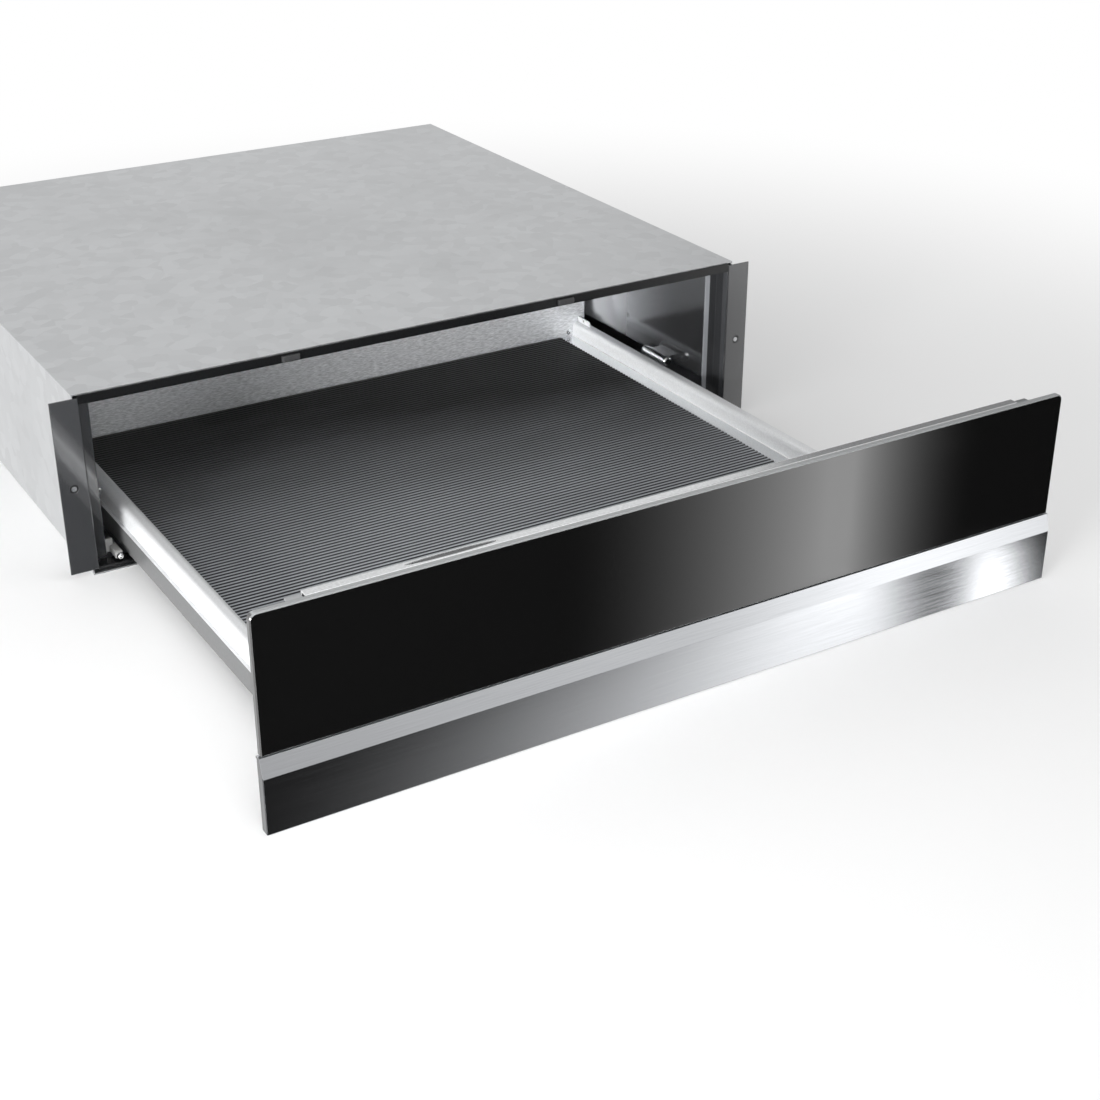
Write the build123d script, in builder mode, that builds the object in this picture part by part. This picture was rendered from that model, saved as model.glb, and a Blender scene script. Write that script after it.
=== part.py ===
from build123d import *
import os

# Built-in storage drawer for a niche in a kitchen cabinet, in millimetres.
# +X is to the right, -Y is the front, +Z is up.
# The origin is the middle of the cabinet's front edge, on the niche floor.
# Every half width is measured from the middle plane, and both sides are alike.
# The drawer is modelled pulled out by rest_pull from its closed place.

# Niche and housing
niche_width = 560.0
niche_clearance = 2.0
housing_depth = 528.0
housing_height = 138.0
sheet = 1.0
seam_flange = 12.0
seam_start = 20.0

# Folded flanges at the front of the housing
flange_sheet = 1.2
flange_overlap = 14.0
flange_bottom = 4.25
flange_top = 135.2
flange_bend = 0.8
return_inset = 6.4
return_depth = 15.4
mounting_hole_inset = 9.85
mounting_hole_height = 69.3
mounting_hole_r = 2.2
countersink_r = 3.3
mounting_screw_r = 1.75
mounting_screw_head_r = 3.1
mounting_screw_length = 16.0
mounting_screw_tip = 3.0
mounting_screw_point_r = 0.35

# Front rails
rail_side_gap = 0.2
top_rail_height = 7.0
top_rail_depth = 20.0
top_rail_lip = 6.0
bottom_rail_height = 3.6
bottom_rail_depth = 12.0
bottom_rail_nose = 1.7
buffer_x = 116.5
buffer_length = 14.0
buffer_height = 4.4
buffer_thickness = 2.4
buffer_edge = 0.8

# Inner liners
liner_gap = 13.2
liner_bottom = 33.5
liner_top = 129.5
liner_rear_gap = 1.0

# Front panel
panel_width = 595.0
panel_height = 140.0
panel_bottom = 0.5
closed_front = 22.0
rest_pull = 333.0
plate_sheet = 1.2
strip_height = 37.0
bevel_height = 12.4
bevel_depth = 3.0
edge_depth = 6.5
glass_inset = 1.2
glass_thickness = 4.0
glass_gap = 0.6
glass_corner = 4.5
glass_arris = 0.8
tape_thickness = 0.6
tape_inset = 8.0
plate_inset = 3.5
plate_top_inset = 1.5

# Inner front profile and its fixings
carrier_width = 521.0
carrier_depth = 7.4
carrier_sheet = 1.2
carrier_bottom = 7.0
carrier_top = 139.2
carrier_bend = 1.0
recess_middle = -169.0
recess_length = 60.0
recess_width = 4.4
recess_depth = 0.5
clip_gap = 1.5
clip_width = 9.5
clip_height = 16.0
clip_depth = 5.0
clip_sheet = 1.0

# Drawer tray and walls
skirt_width = 499.0
skirt_step = 2.5
profile_width = 12.0
profile_sheet = 1.0
profile_top = 38.1
profile_bend = 4.0
ledge_height = 24.15
skirt_bottom = 7.34
floor_height = 25.85
floor_flange = 6.0
floor_upstand = 10.0
tray_length = 532.0
back_height = 97.0
back_hem = 11.0
back_lip = 9.0
tab_height = 4.4
tab_length = 19.0
tab_hole_r = 1.4
tab_hole_inset = 8.5

# Ribbed mat, pushed against the left wall
mat_left_gap = 0.3
mat_right_gap = 14.8
mat_base = 0.7
rib_height = 0.7
rib_pitch = 4.1
rib_foot = 2.6
rib_crest = 1.5
mat_end_gap = 2.0

# Ball slides, seen in section from the drawer outward
# Each start along the slide is given with the drawer closed.
slide_height = 12.4
slide_sheet = 1.0
ball_r = 1.0
ball_clearance = 0.05
drawer_rail_half = 3.85
drawer_rail_depth = 7.5
drawer_rail_start = 22.0
middle_rail_depth = 7.5
middle_rail_length = 340.0
middle_rail_start = 135.5
middle_ratio = 0.5
cabinet_rail_depth = 9.6
cabinet_rail_start = 14.0
cabinet_rail_length = 486.0
cabinet_rail_gap = 0.3
cabinet_rail_tail = 12.0
nest_gap = 1.3
cage_sheet = 0.5
cage_hole_clearance = 0.05
outer_cage_start = 140.0
outer_cage_length = 200.0
outer_cage_depth = 6.5
outer_cage_rows = 8
outer_cage_ratio = 0.25
inner_cage_start = 252.0
inner_cage_length = 110.0
inner_cage_depth = 6.0
inner_cage_rows = 5
inner_cage_ratio = 0.75
cage_end = 12.0
stop_length = 7.6
stop_gap = 2.4
stop_side_gap = 0.8
push_in = 2.0

# Small guides in the opening
bracket_plate_width = 15.0
bracket_plate_height = 10.0
bracket_sheet = 2.0
bracket_overlap = 9.3
bracket_bottom = 7.0
bracket_arm_width = 5.0
bracket_arm_height = 5.0
bracket_arm_reach = 12.9
stud_r = 2.5
stud_neck_r = 1.2
stud_neck_length = 6.0
barrel_r = 4.5
barrel_length = 36.0
barrel_start = 52.0
barrel_skirt_gap = 1.95
barrel_nose = 2.4
barrel_drop = 0.5
barrel_clip_length = 24.0
barrel_clip_height = 5.4

# Push-to-open ejector under the tray
ejector_rear_gap = 36.0
ejector_length = 82.0
ejector_width = 28.0
ejector_height = 19.0
ejector_foot_width = 8.0
ejector_foot_height = 2.5
ejector_axis_height = 11.0
ejector_rod_r = 5.0
ejector_clearance = 0.1
ejector_bore_depth = 76.0
ejector_rod_length = 60.0
ejector_rod_reach = 6.0
ejector_head_width = 16.0
ejector_head_thickness = 5.0
ejector_tip_length = 2.5
ejector_tip_inset = 1.0
ejector_tip_edge = 1.2
ejector_spring_r = 3.9
ejector_wire_r = 0.45
ejector_turns = 8
striker_gap = 0.5
striker_rise = 0.5
striker_head_gap = 0.45
striker_thickness = 2.0
striker_width = 24.0
striker_foot = 20.0

# Screws
small_shank_r = 1.5
small_head_r = 2.6
small_head_height = 1.0
small_hole_r = 1.6
cross_width = 0.7
cross_depth = 0.5
case_screw_length = 6.0
case_screw_margin = 19.0
rail_screw_end = 6.5
back_screw_x = 230.5
back_screw_rise = 3.65
back_screw_length = 5.0
front_screw_spacing = 9.0
front_screw_length = 6.5
rail_rivet_end = 38.0
rail_rivet_length = 2.6
rail_rivet_head = 0.9

# Corner brackets between the carrier and the tray
corner_sheet = 2.0
corner_width = 22.0
corner_length = 33.0
corner_bottom = 9.0

# Places that follow from the sizes above
housing_x = niche_width / 2 - niche_clearance
side_inner_x = housing_x - sheet
flange_outer_x = niche_width / 2 + flange_overlap
return_x = niche_width / 2 - return_inset
flange_front_y = -flange_sheet
strip_rear_y = flange_front_y + return_depth + flange_sheet
mounting_x = flange_outer_x - mounting_hole_inset
cover_bottom = housing_height - sheet
top_rail_bottom = cover_bottom - top_rail_height
skirt_x = skirt_width / 2
wall_x = skirt_x - skirt_step
inner_x = wall_x - profile_width
liner_x = skirt_x + liner_gap
front_y = -(closed_front + rest_pull)
glass_front_y = front_y + bevel_depth
glass_back_y = glass_front_y + glass_thickness
plate_front_y = glass_back_y + tape_thickness
plate_back_y = plate_front_y + plate_sheet
carrier_rear_y = plate_back_y + carrier_depth
bevel_top = panel_bottom + strip_height + bevel_height
glass_bottom = bevel_top + glass_gap
panel_top = panel_bottom + panel_height
back_front_y = front_y + tray_length
floor_under = floor_height - sheet
mat_width = 2 * inner_x - mat_left_gap - mat_right_gap
stop_rear = cabinet_rail_start + cabinet_rail_length - cabinet_rail_tail
drawer_rail_closed_start = drawer_rail_start - closed_front
drawer_rail_length = stop_rear - stop_length - stop_gap - drawer_rail_closed_start
ejector_front = housing_depth - ejector_rear_gap - ejector_length
ejector_head_top = floor_under - striker_thickness - striker_head_gap
striker_bottom = ejector_axis_height + ejector_rod_r + striker_rise


def block(x0, x1, y0, y1, z0, z1, mode=Mode.ADD):
    """A rectangular block between two corners."""
    with Locations(((x0 + x1) / 2, (y0 + y1) / 2, (z0 + z1) / 2)):
        Box(abs(x1 - x0), abs(y1 - y0), abs(z1 - z0), mode=mode)


def keep(piece, name):
    """Labels a finished piece and writes it under its name."""
    piece.part.label = name
    export_step(piece.part, f"parts/{name}.step")


def named(base, side):
    """The name of a left or right piece."""
    return f"{base}_left" if side < 0 else f"{base}_right"


def facing(x, y, z, normal):
    """A plane at a point, looking along normal."""
    return Plane(origin=(x, y, z), x_dir=(0, 0, 1) if normal[2] == 0 else (1, 0, 0), z_dir=normal)


def small_screw(plane, length, head_height=small_head_height):
    """A pan head screw with its head seated on the plane and its shank behind it."""
    with Locations(plane.location):
        Cylinder(small_head_r, head_height, align=(Align.CENTER, Align.CENTER, Align.MIN))
        Cylinder(small_shank_r, length, align=(Align.CENTER, Align.CENTER, Align.MAX))
    with Locations(plane.offset(head_height).location):
        Box(small_head_r, cross_width, 2 * cross_depth, mode=Mode.SUBTRACT)
        Box(cross_width, small_head_r, 2 * cross_depth, mode=Mode.SUBTRACT)


def drill(plane, radius, depth):
    """A round hole from the plane into the material behind it."""
    with Locations(plane.location):
        Cylinder(radius, depth, align=(Align.CENTER, Align.CENTER, Align.MAX), mode=Mode.SUBTRACT)


# Housing

def case_screw_planes():
    """Seats of the rear sheet's screws, three down each side."""
    x = side_inner_x - seam_flange / 2
    middle = housing_height / 2
    spread = middle - case_screw_margin
    return [facing(side * x, housing_depth, middle + step * spread, (0, 1, 0))
            for side in (-1, 1) for step in (-1, 0, 1)]


def rail_screw_planes():
    """Seats of the screws that hold the slides' fixed members to the base."""
    x = cabinet_rail_x() - cabinet_rail_depth / 2
    z = slide_height - cabinet_rail_half() + slide_sheet
    ends = (cabinet_rail_start + rail_screw_end, cabinet_rail_start + cabinet_rail_length - rail_screw_end)
    return [facing(side * x, y, z, (0, 0, 1)) for side in (-1, 1) for y in ends]


def make_housing_base():
    with BuildPart() as base:
        block(-housing_x, housing_x, flange_front_y, housing_depth, 0, sheet)
        for plane in rail_screw_planes():
            drill(plane, small_hole_r, slide_height)
    keep(base, "housing_base")


def make_housing_back():
    with BuildPart() as back:
        block(-housing_x, housing_x, housing_depth - sheet, housing_depth, sheet, cover_bottom)
        for plane in case_screw_planes():
            drill(plane, small_hole_r, case_screw_length)
    keep(back, "housing_back")


def make_top_cover():
    with BuildPart() as cover:
        block(-housing_x, housing_x, 0, housing_depth, cover_bottom, housing_height)
    keep(cover, "top_cover")


def make_side_sheet(side):
    """Outer side sheet with seam flanges along its bottom, rear and top."""
    rear = housing_depth - sheet
    seam_x = side_inner_x - seam_flange
    with BuildPart() as outer:
        block(side * side_inner_x, side * housing_x, 0, rear, sheet, cover_bottom)
        block(side * seam_x, side * side_inner_x, seam_start, rear, sheet, 2 * sheet)
        block(side * seam_x, side * side_inner_x, rear - sheet, rear, 2 * sheet, cover_bottom - sheet)
        block(side * seam_x, side * side_inner_x, seam_start, rear, cover_bottom - sheet, cover_bottom)
        for plane in case_screw_planes():
            drill(plane, small_hole_r, case_screw_length)
    keep(outer, named("side_sheet", side))


def make_liner(side):
    """Inner side lining, folded outward along its top and bottom to the side sheet."""
    rear = housing_depth - 2 * sheet - liner_rear_gap
    with BuildPart() as liner:
        block(side * liner_x, side * (liner_x + sheet), strip_rear_y, rear, liner_bottom, liner_top)
        block(side * liner_x, side * side_inner_x, strip_rear_y, rear, liner_bottom, liner_bottom + sheet)
        block(side * liner_x, side * side_inner_x, strip_rear_y, rear, liner_top - sheet, liner_top)
        inner_edges = liner.edges().filter_by(Axis.Y).sort_by(Axis.X)
        inner_edges = inner_edges[:2] if side > 0 else inner_edges[-2:]
        fillet(inner_edges, radius=flange_bend)
    keep(liner, named("liner", side))


def make_front_flange(side):
    """Flange over the cabinet's front edge, its return into the niche and the strip to the liner."""
    with BuildPart() as flange:
        block(side * return_x, side * flange_outer_x, flange_front_y, 0, flange_bottom, flange_top)
        block(side * return_x, side * (return_x + flange_sheet), flange_front_y, strip_rear_y,
              flange_bottom, flange_top)
        block(side * liner_x, side * (return_x + flange_sheet), strip_rear_y - flange_sheet, strip_rear_y,
              flange_bottom, flange_top)
        upright = flange.edges().filter_by(Axis.Z)
        front_bend = upright.filter_by_position(Axis.Y, flange_front_y - 0.01, flange_front_y + 0.01)
        fillet(front_bend.sort_by(Axis.X)[0 if side > 0 else -1], radius=flange_bend)
        with Locations(facing(side * mounting_x, flange_front_y, mounting_hole_height, (0, -1, 0)).location):
            CounterSinkHole(radius=mounting_hole_r, counter_sink_radius=countersink_r, depth=flange_sheet)
    keep(flange, named("front_flange", side))


def make_top_front_rail():
    half = return_x - rail_side_gap
    with BuildPart() as rail:
        block(-half, half, flange_front_y, 0, top_rail_bottom, cover_bottom)
        block(-half, half, 0, top_rail_depth, cover_bottom - sheet, cover_bottom)
        block(-half, half, 0, top_rail_lip, top_rail_bottom, top_rail_bottom + flange_sheet)
        front_low = rail.edges().filter_by(Axis.X).group_by(Axis.Z)[0].sort_by(Axis.Y)[0]
        fillet(front_low, radius=flange_bend)
    keep(rail, "top_front_rail")


def make_bottom_front_rail():
    half = return_x - rail_side_gap
    with BuildPart() as rail:
        block(-half, half, 0, bottom_rail_depth, sheet, sheet + bottom_rail_height)
        front_edges = rail.edges().filter_by(Axis.X).group_by(Axis.Y)[0]
        fillet(front_edges, radius=bottom_rail_nose)
    keep(rail, "bottom_front_rail")


def make_closing_buffers():
    """Two soft pads on the top rail that the carrier closes towards."""
    middle = (top_rail_bottom + cover_bottom) / 2
    with BuildPart() as buffers:
        for side in (-1, 1):
            block(side * buffer_x - buffer_length / 2, side * buffer_x + buffer_length / 2,
                  flange_front_y - buffer_thickness, flange_front_y,
                  middle - buffer_height / 2, middle + buffer_height / 2)
        fillet(buffers.faces().group_by(Axis.Y)[0].edges(), radius=buffer_edge)
    keep(buffers, "closing_buffers")


def bracket_arm_x():
    """Inner face of the locating bracket's arm."""
    return liner_x + bracket_overlap - bracket_plate_width - bracket_arm_width / 2


def make_locating_bracket(side):
    """Moulded bracket behind the strip, with an arm that carries the ball stud."""
    plate_out = liner_x + bracket_overlap
    plate_in = plate_out - bracket_plate_width
    arm_in = bracket_arm_x()
    arm_front = strip_rear_y - bracket_arm_reach
    with BuildPart() as bracket:
        block(side * plate_in, side * plate_out, strip_rear_y, strip_rear_y + bracket_sheet,
              bracket_bottom, bracket_bottom + bracket_plate_height)
        block(side * arm_in, side * (arm_in + bracket_arm_width), arm_front, strip_rear_y + bracket_sheet,
              bracket_bottom, bracket_bottom + bracket_arm_height)
        top_front = bracket.edges().filter_by(Axis.X).group_by(Axis.Y)[0].sort_by(Axis.Z)[-1]
        fillet(top_front, radius=bracket_arm_height / 2)
        drill(stud_plane(side), stud_neck_r + ball_clearance, stud_neck_length)
    keep(bracket, named("locating_bracket", side))


def stud_plane(side):
    """Front end of the locating bracket's arm, where the stud's neck goes in."""
    x = bracket_arm_x() + bracket_arm_width / 2
    z = bracket_bottom + bracket_arm_height / 2
    return facing(side * x, strip_rear_y - bracket_arm_reach, z, (0, -1, 0))


def make_ball_studs():
    with BuildPart() as studs:
        for side in (-1, 1):
            with Locations(stud_plane(side).offset(stud_r).location):
                Sphere(stud_r)
                Cylinder(stud_neck_r, stud_neck_length + stud_r,
                         align=(Align.CENTER, Align.CENTER, Align.MAX))
    keep(studs, "ball_studs")


def make_guide_barrel(side):
    """Bright barrel with a rounded nose, clipped to the liner's lower edge."""
    x = skirt_x + barrel_skirt_gap + barrel_r - skirt_step
    z = liner_bottom + barrel_r - barrel_drop
    with BuildPart() as barrel:
        with Locations(facing(side * x, barrel_start, z, (0, 1, 0)).location):
            Cylinder(barrel_r, barrel_length, align=(Align.CENTER, Align.CENTER, Align.MIN))
        fillet(barrel.edges().filter_by(GeomType.CIRCLE), radius=barrel_nose)
        clip_start = barrel_start + (barrel_length - barrel_clip_length) / 2
        block(side * x, side * liner_x, clip_start, clip_start + barrel_clip_length,
              z - barrel_clip_height / 2, z + barrel_clip_height / 2)
    keep(barrel, named("guide_barrel", side))


def make_case_screws():
    with BuildPart() as screws:
        for plane in case_screw_planes():
            small_screw(plane, case_screw_length)
    keep(screws, "case_screws")


def make_mounting_screws():
    """Countersunk screws through the flanges into the cabinet's front edges."""
    with BuildPart() as screws:
        for side in (-1, 1):
            seat = facing(side * mounting_x, flange_front_y, mounting_hole_height, (0, -1, 0))
            head_height = mounting_screw_head_r - mounting_screw_r
            straight = mounting_screw_length - mounting_screw_tip
            with Locations(seat.location):
                Cylinder(mounting_screw_r, straight, align=(Align.CENTER, Align.CENTER, Align.MAX))
            with Locations(seat.offset(-head_height).location):
                Cone(mounting_screw_r, mounting_screw_head_r, head_height,
                     align=(Align.CENTER, Align.CENTER, Align.MIN))
            with Locations(seat.offset(-straight).location):
                Cone(mounting_screw_point_r, mounting_screw_r, mounting_screw_tip,
                     align=(Align.CENTER, Align.CENTER, Align.MAX))
            with Locations(seat.location):
                Box(mounting_screw_head_r, cross_width, 2 * cross_depth, mode=Mode.SUBTRACT)
                Box(cross_width, mounting_screw_head_r, 2 * cross_depth, mode=Mode.SUBTRACT)
    keep(screws, "mounting_screws")


# Ball slides

def ball_gap():
    """Height of a ball race between two members."""
    return 2 * (ball_r + ball_clearance)


def middle_rail_half():
    """Half height of the middle member, over its lips."""
    return drawer_rail_half + ball_gap() + slide_sheet


def cabinet_rail_half():
    """Half height of the fixed member, over its lips."""
    return middle_rail_half() + ball_gap() + slide_sheet


def drawer_rail_x():
    """Face of the side profile's inner wall, where the drawer's member is fixed."""
    return inner_x + profile_sheet


def cabinet_rail_x():
    """Outer face of the fixed member, just inside the skirt."""
    return skirt_x - profile_sheet - cabinet_rail_gap


def middle_rail_x():
    """Outer face of the middle member."""
    return cabinet_rail_x() - slide_sheet - nest_gap


def slide_channel(side, web_x, lip_x, start, length, half):
    """A C channel on its edge: a web at web_x and two lips that reach to lip_x."""
    inward = slide_sheet if web_x < lip_x else -slide_sheet
    end = start + length
    block(side * web_x, side * (web_x + inward), start, end, slide_height - half, slide_height + half)
    block(side * web_x, side * lip_x, start, end, slide_height - half, slide_height - half + slide_sheet)
    block(side * web_x, side * lip_x, start, end, slide_height + half - slide_sheet, slide_height + half)


def make_cabinet_rail(side):
    x = cabinet_rail_x()
    with BuildPart() as rail:
        slide_channel(side, x, x - cabinet_rail_depth, cabinet_rail_start, cabinet_rail_length,
                      cabinet_rail_half())
        for plane in rail_screw_planes():
            drill(plane, small_hole_r, slide_height)
    keep(rail, named("cabinet_rail", side))


def make_middle_rail(side):
    x = middle_rail_x()
    start = middle_rail_start - middle_ratio * rest_pull
    with BuildPart() as rail:
        slide_channel(side, x, x - middle_rail_depth, start, middle_rail_length, middle_rail_half())
    keep(rail, named("middle_rail", side))


def rail_rivet_planes(side):
    """Seats of the rivets through the side profile's inner wall into the drawer's member."""
    middle = front_y + drawer_rail_start + drawer_rail_length / 2
    spread = drawer_rail_length / 2 - rail_rivet_end
    return [facing(side * inner_x, middle + step * spread, slide_height, (-side, 0, 0)) for step in (-1, 0, 1)]


def make_drawer_rail(side):
    x = drawer_rail_x()
    start = front_y + drawer_rail_start
    with BuildPart() as rail:
        slide_channel(side, x, x + drawer_rail_depth, start, drawer_rail_length, drawer_rail_half)
        for plane in rail_rivet_planes(side):
            drill(plane, small_hole_r, profile_sheet + 2 * slide_sheet)
    keep(rail, named("drawer_rail", side))


def make_drawer_rail_screws():
    with BuildPart() as rivets:
        for side in (-1, 1):
            for plane in rail_rivet_planes(side):
                small_screw(plane, rail_rivet_length, rail_rivet_head)
    keep(rivets, "drawer_rail_screws")


def make_rail_supports():
    """Strips on the base that the fixed members stand on."""
    x = cabinet_rail_x()
    end = cabinet_rail_start + cabinet_rail_length
    with BuildPart() as supports:
        for side in (-1, 1):
            block(side * (x - cabinet_rail_depth), side * x, cabinet_rail_start, end,
                  sheet, slide_height - cabinet_rail_half())
        for plane in rail_screw_planes():
            drill(plane, small_hole_r, slide_height)
    keep(supports, "rail_supports")


def make_rail_screws():
    """Screws down through the fixed members' lower lips and the supports, flush below the base."""
    with BuildPart() as screws:
        for plane in rail_screw_planes():
            small_screw(plane, plane.origin.Z - sheet / 2)
    keep(screws, "rail_screws")


def make_rail_stops():
    """Rubber stops in the fixed members, just behind the drawer's members when it is pushed in."""
    web = cabinet_rail_x() - slide_sheet
    lip = cabinet_rail_half() - slide_sheet
    with BuildPart() as stops:
        for side in (-1, 1):
            block(side * web, side * (web - cabinet_rail_depth + slide_sheet + stop_side_gap),
                  stop_rear - stop_length, stop_rear, slide_height - lip, slide_height + lip)
        fillet(stops.faces().group_by(Axis.Y)[0].edges().filter_by(Axis.X), radius=buffer_edge)
    keep(stops, "rail_stops")


def ball_places(side, x, race, start, length, rows):
    """Centres of the balls in one cage, along its two races."""
    step = (length - 2 * cage_end) / (rows - 1)
    return [(side * x, start + cage_end + i * step, slide_height + up * race)
            for up in (-1, 1) for i in range(rows)]


def make_cage(side, name, web_x, depth, race, start, length, rows):
    """A folded strip round the inner member, with a hole for each ball, and the balls in it."""
    half_sheet = cage_sheet / 2
    lip_x = web_x - depth
    places = ball_places(side, (web_x + lip_x) / 2, race, start, length, rows)
    with BuildPart() as cage:
        block(side * (web_x - cage_sheet), side * web_x, start, start + length,
              slide_height - race - half_sheet, slide_height + race + half_sheet)
        for up in (-1, 1):
            level = slide_height + up * race
            block(side * lip_x, side * web_x, start, start + length, level - half_sheet, level + half_sheet)
        with Locations(*places):
            Cylinder(ball_r + cage_hole_clearance, 2 * cage_sheet, mode=Mode.SUBTRACT)
    keep(cage, named(f"{name}_cage", side))
    with BuildPart() as balls:
        with Locations(*places):
            Sphere(ball_r)
    keep(balls, named(f"{name}_balls", side))


def make_outer_cage(side):
    web_x = middle_rail_x() + (nest_gap + cage_sheet) / 2
    race = middle_rail_half() + ball_gap() / 2
    start = outer_cage_start - outer_cage_ratio * rest_pull
    make_cage(side, "outer", web_x, outer_cage_depth, race, start, outer_cage_length, outer_cage_rows)


def make_inner_cage(side):
    gap = middle_rail_x() - slide_sheet - drawer_rail_x() - drawer_rail_depth
    web_x = drawer_rail_x() + drawer_rail_depth + (gap + cage_sheet) / 2
    race = drawer_rail_half + ball_gap() / 2
    start = inner_cage_start - inner_cage_ratio * rest_pull
    make_cage(side, "inner", web_x, inner_cage_depth, race, start, inner_cage_length, inner_cage_rows)


# Push-to-open ejector

def ejector_mouth():
    """Plane of the ejector's front face, on the rod's axis."""
    return facing(0, ejector_front, ejector_axis_height, (0, -1, 0))


def make_ejector_body():
    half = ejector_width / 2
    rear = ejector_front + ejector_length
    with BuildPart() as body:
        block(-half, half, ejector_front, rear, sheet, sheet + ejector_height)
        block(-half - ejector_foot_width, half + ejector_foot_width, ejector_front, rear,
              sheet, sheet + ejector_foot_height)
        top_edges = body.edges().filter_by(Axis.Y).group_by(Axis.Z)[-1]
        fillet(top_edges, radius=ejector_foot_height)
        drill(ejector_mouth(), ejector_rod_r + ejector_clearance, ejector_bore_depth)
    keep(body, "ejector_body")


def make_ejector_plunger():
    """Rod with a head that stands up behind the striker, which passes over the rod itself."""
    half = ejector_head_width / 2
    head_front = ejector_front - ejector_rod_reach
    with BuildPart() as rod:
        with Locations(ejector_mouth().offset(ejector_rod_reach).location):
            Cylinder(ejector_rod_r, ejector_rod_length, align=(Align.CENTER, Align.CENTER, Align.MAX))
        chamfer(rod.faces().sort_by(Axis.Y)[-1].edges(), length=ejector_wire_r)
        block(-half, half, head_front, head_front + ejector_head_thickness,
              ejector_axis_height - ejector_rod_r, ejector_head_top)
    keep(rod, "ejector_plunger")


def make_ejector_tip():
    """Soft pad on the upper part of the head, where it meets the striker."""
    half = ejector_head_width / 2 - ejector_tip_inset
    head_front = ejector_front - ejector_rod_reach
    with BuildPart() as tip:
        block(-half, half, head_front - ejector_tip_length, head_front,
              striker_bottom, ejector_head_top - ejector_tip_inset)
        fillet(tip.faces().sort_by(Axis.Y)[0].edges(), radius=ejector_tip_edge)
    keep(tip, "ejector_tip")


def make_ejector_spring():
    """Coil spring behind the rod, pressed together as it is when the drawer is latched shut."""
    start = ejector_front - ejector_rod_reach + ejector_rod_length + ejector_wire_r + ejector_clearance
    end = ejector_front + ejector_bore_depth - ejector_wire_r - ejector_clearance
    length = end - start
    with BuildPart() as spring:
        with BuildLine() as path:
            Helix(pitch=length / ejector_turns, height=length, radius=ejector_spring_r,
                  center=(0, start, ejector_axis_height), direction=(0, 1, 0))
        with BuildSketch(Plane(origin=path.line @ 0, z_dir=path.line % 0)):
            Circle(ejector_wire_r)
        sweep()
    keep(spring, "ejector_spring")


def make_ejector_striker():
    """Bracket under the tray whose plate meets the ejector's tip as the drawer closes."""
    tip_y = ejector_front - ejector_rod_reach - ejector_tip_length
    rear = tip_y - striker_gap - push_in - rest_pull
    half = striker_width / 2
    with BuildPart() as striker:
        block(-half, half, rear - striker_thickness, rear, striker_bottom, floor_under)
        block(-half, half, rear - striker_foot, rear, floor_under - striker_thickness, floor_under)
        low_edges = striker.edges().filter_by(Axis.Y).group_by(Axis.Z)[0]
        fillet(low_edges, radius=striker_thickness)
    keep(striker, "ejector_striker")


# Front of the drawer

def make_front_plate():
    """Formed strip with its bevel, its shallow side edges and the plate behind the glass."""
    low = panel_bottom
    inner_low = panel_bottom + plate_sheet
    half = panel_width / 2
    plate_half = half - plate_inset
    strip_top = low + strip_height
    plate_top = panel_top - plate_top_inset
    end_plane = Plane(origin=(-half, 0, 0), x_dir=(0, 1, 0), z_dir=(1, 0, 0))
    outer = [(front_y + edge_depth, low), (front_y, low), (front_y, strip_top),
             (glass_front_y, bevel_top), (plate_front_y, bevel_top)]
    inner = [(plate_front_y, bevel_top - plate_sheet), (glass_front_y + plate_sheet, bevel_top - plate_sheet),
             (front_y + plate_sheet, strip_top), (front_y + plate_sheet, inner_low),
             (front_y + edge_depth, inner_low)]
    with BuildPart() as plate:
        with BuildSketch(end_plane):
            with BuildLine():
                Polyline(*outer, *inner, close=True)
            make_face()
        extrude(amount=panel_width)
        with BuildSketch(end_plane, end_plane.offset(panel_width - plate_sheet)):
            with BuildLine():
                Polyline(*outer[:-1], (front_y + edge_depth, bevel_top), close=True)
            make_face()
        extrude(amount=plate_sheet)
        block(-plate_half, plate_half, plate_front_y, plate_back_y, bevel_top - plate_sheet, plate_top)
        ends = plate.edges().filter_by(Axis.Z).group_by(Axis.Y)[0]
        fillet(ends, radius=plate_sheet / 2)
    keep(plate, "front_plate")


def make_front_glass():
    half = panel_width / 2 - glass_inset
    with BuildPart() as glass:
        with BuildSketch(Plane(origin=(0, glass_back_y, 0), x_dir=(1, 0, 0), z_dir=(0, -1, 0))):
            with Locations((0, (glass_bottom + panel_top) / 2)):
                Rectangle(2 * half, panel_top - glass_bottom)
            fillet(vertices().group_by(Axis.Y)[-1], radius=glass_corner)
            fillet(vertices().group_by(Axis.Y)[0], radius=glass_arris)
        extrude(amount=glass_thickness)
        chamfer(glass.faces().sort_by(Axis.Y)[0].edges(), length=glass_arris)
    keep(glass, "front_glass")


def make_glass_tape():
    half = panel_width / 2 - tape_inset
    with BuildPart() as tape:
        block(-half, half, glass_back_y, plate_front_y, glass_bottom + tape_inset / 2, panel_top - tape_inset)
    keep(tape, "glass_tape")


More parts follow.
